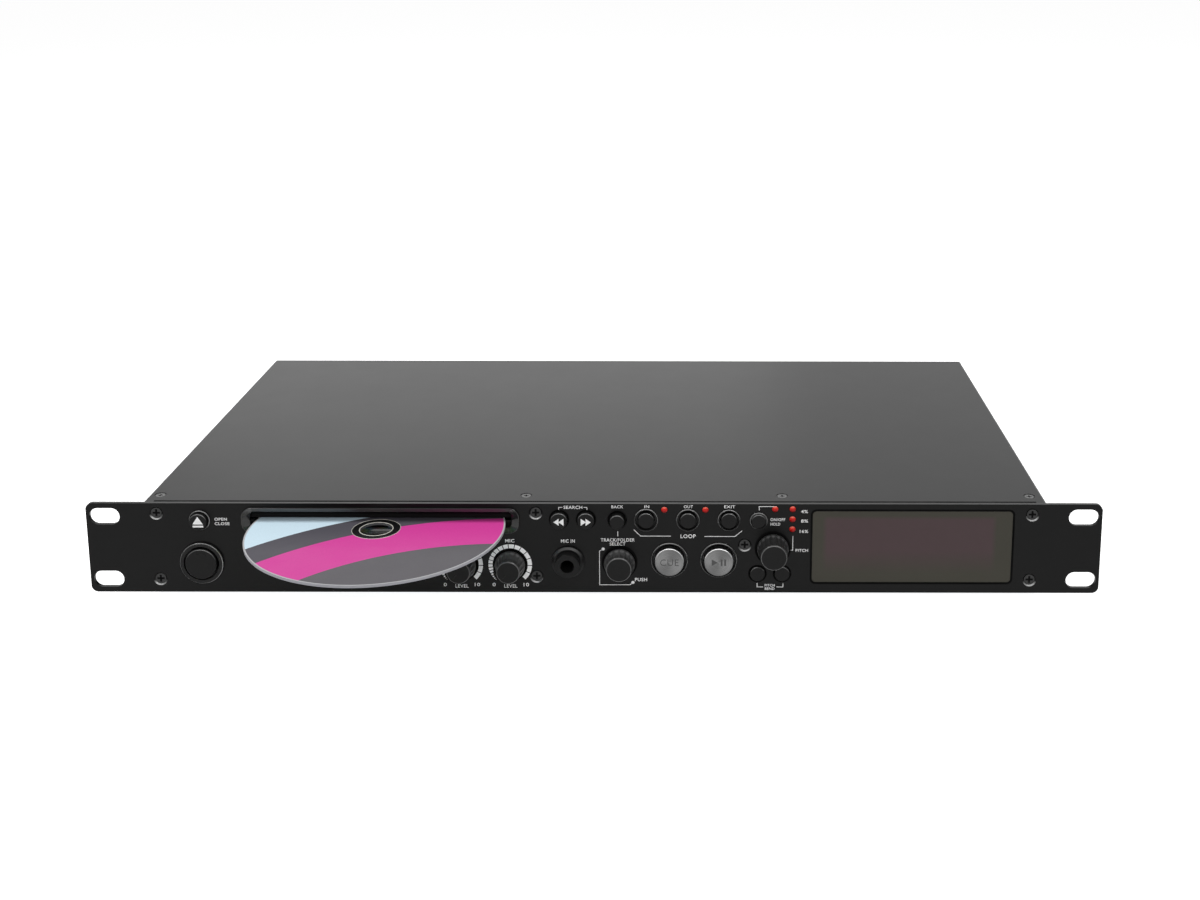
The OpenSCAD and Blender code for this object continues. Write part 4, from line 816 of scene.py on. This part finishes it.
def hub_rings():
    """Moulded rings round the disc's hole, coloured light as a painted highlight on their clear edges."""
    shape = Shape()
    low, high, slant = 13.78, 13.88, 0.1
    for inner, outer in ((7.5, 7.95), (11.1, 11.4)):
        section = ((inner, low), (inner + slant, high), (outer - slant, high), (outer, low))
        rings = []
        for r, z in section:
            rings.append([(x, y, z) for x, y in circle(SLOT_X, DISC_Y, r, 96)])
        shape.rings(rings, closed=True)
    # painted highlight: the clear rings are given a light colour
    edge = coated("hub_ring_highlight", tone(206, 204, 194), 0.3, 0.4, grain=0.001, strength=0.1)
    shape.piece("disc_hub_rings", edge, "disc", "disc_print")


hub_rings()


# ---------- cover ----------

def flange():
    """Lip of the front that the cover's edge tucks under, near-black as painted shade along the seam behind
    the panel's top.
    """
    shape = Shape()
    side = [(2.1, 20.7), (7.5, 20.7), (7.5, 20.9), (7.3, 21.0), (2.1, 21.0)]
    shape.rings([[(x, y, z) for y, z in side] for x in (-211.0, 211.0)])
    shape.piece("front_flange", painted_shade_black)


flange()


# ---------- rear ----------

def insulators():
    """Coloured insulator ring at the mouth of each line socket."""
    for x, label, colour in ((-150, "red", tone(186, 28, 24)), (-134, "white", tone(224, 222, 216)),
                             (-118, "orange", tone(214, 112, 24))):
        shape = Shape()
        rings = []
        for r, y in ((3.3, 245.62), (3.3, 245.4), (1.8, 245.4), (1.8, 245.62)):
            rings.append([(px, y, pz) for px, pz in circle(x, 3.0, r, 48)])
        shape.rings(rings, closed=True)
        shape.piece("socket_" + label, coated("socket_" + label, colour, 0.35, 0.5, spread=0.05))


insulators()


# ---------- stage, lights, camera ----------

def stage():
    """Floor that shows as white and still takes shadows."""
    mesh = bpy.data.meshes.new("floor")
    s = 6.0
    corners = [(-s, -s, FLOOR_Z), (s, -s, FLOOR_Z), (s, s, FLOOR_Z), (-s, s, FLOOR_Z)]
    mesh.from_pydata(corners, [], [(0, 1, 2, 3)])
    mat = bpy.data.materials.new("floor")
    mat.use_nodes = True
    tree = mat.node_tree
    tree.nodes.clear()
    seen = seen_ray(tree)
    diffuse = tree.nodes.new("ShaderNodeBsdfDiffuse")
    diffuse.inputs["Color"].default_value = (0.8, 0.8, 0.8, 1)
    glow = tree.nodes.new("ShaderNodeEmission")
    strength = tree.nodes.new("ShaderNodeMath")
    strength.operation = "MULTIPLY"
    strength.inputs[1].default_value = 0.82
    tree.links.new(seen, strength.inputs[0])
    tree.links.new(strength.outputs[0], glow.inputs["Strength"])
    both = tree.nodes.new("ShaderNodeAddShader")
    tree.links.new(diffuse.outputs[0], both.inputs[0])
    tree.links.new(glow.outputs[0], both.inputs[1])
    out = tree.nodes.new("ShaderNodeOutputMaterial")
    tree.links.new(both.outputs[0], out.inputs["Surface"])
    mesh.materials.append(mat)
    floor = bpy.data.objects.new("floor", mesh)
    scene.collection.objects.link(floor)


def seen_ray(tree):
    """1 for the rays that show the background: camera, glossy and transmission rays."""
    ray = tree.nodes.new("ShaderNodeLightPath")
    value = ray.outputs["Is Camera Ray"]
    for kind in ("Is Glossy Ray", "Is Transmission Ray"):
        most = tree.nodes.new("ShaderNodeMath")
        most.operation = "MAXIMUM"
        tree.links.new(value, most.inputs[0])
        tree.links.new(ray.outputs[kind], most.inputs[1])
        value = most.outputs[0]
    return value


def world():
    """Soft light on the object and a white background behind it."""
    made = bpy.data.worlds.new("studio")
    made.use_nodes = True
    tree = made.node_tree
    tree.nodes.clear()
    soft = tree.nodes.new("ShaderNodeBackground")
    soft.inputs["Strength"].default_value = 0.2
    white = tree.nodes.new("ShaderNodeBackground")
    for shader in (soft, white):
        shader.inputs["Color"].default_value = (1, 1, 1, 1)
    mix = tree.nodes.new("ShaderNodeMixShader")
    tree.links.new(seen_ray(tree), mix.inputs[0])
    tree.links.new(soft.outputs[0], mix.inputs[1])
    tree.links.new(white.outputs[0], mix.inputs[2])
    out = tree.nodes.new("ShaderNodeOutputWorld")
    tree.links.new(mix.outputs[0], out.inputs["Surface"])
    scene.world = made


def lamp(name, place, aim, size, power):
    """Area lamp at place, in metres, that shines at aim."""
    light = bpy.data.lights.new(name, "AREA")
    light.shape = "RECTANGLE"
    light.size, light.size_y = size
    light.energy = power
    made = bpy.data.objects.new(name, light)
    made.location = place
    made.rotation_euler = (Vector(aim) - Vector(place)).to_track_quat("-Z", "Y").to_euler()
    scene.collection.objects.link(made)


def camera():
    """Camera fitted to the photograph's view of the panel, the case and the disc, taken as level."""
    yaw, pitch, roll = 0.0023, 0.1966, 0.0025
    ahead = Vector((math.sin(yaw) * math.cos(pitch), math.cos(yaw) * math.cos(pitch), -math.sin(pitch)))
    right = Vector((math.cos(yaw), -math.sin(yaw), 0))
    up = right.cross(ahead)
    r = math.cos(roll) * right + math.sin(roll) * up
    u = -math.sin(roll) * right + math.cos(roll) * up
    turn = Matrix((r, u, -ahead)).transposed().to_4x4()
    data = bpy.data.cameras.new("camera")
    data.sensor_width = 36
    data.lens = 44.286
    data.shift_x, data.shift_y = -0.0767, -0.1966
    made = bpy.data.objects.new("camera", data)
    made.matrix_world = Matrix.Translation((0.044374, -0.659307, 0.29395)) @ turn
    scene.collection.objects.link(made)
    scene.camera = made


stage()
world()
lamp("left", (-0.85, 0.0, 1.3), (-0.05, 0.0, 0), (0.6, 0.5), 10.4)
lamp("right", (0.85, 0.0, 1.3), (0.05, 0.0, 0), (0.6, 0.5), 7.6)
lamp("strip", (0.0, -0.42, 1.1), (0, 0, 0), (1.7, 0.1), 1.1)
lamp("front", (0.1, -1.2, 0.9), (0, 0, 0), (1.2, 0.4), 7.5)
lamp("back", (-0.3, 1.75, 0.5), (0, 0.1, 0), (1.0, 0.12), 0.6)
camera()
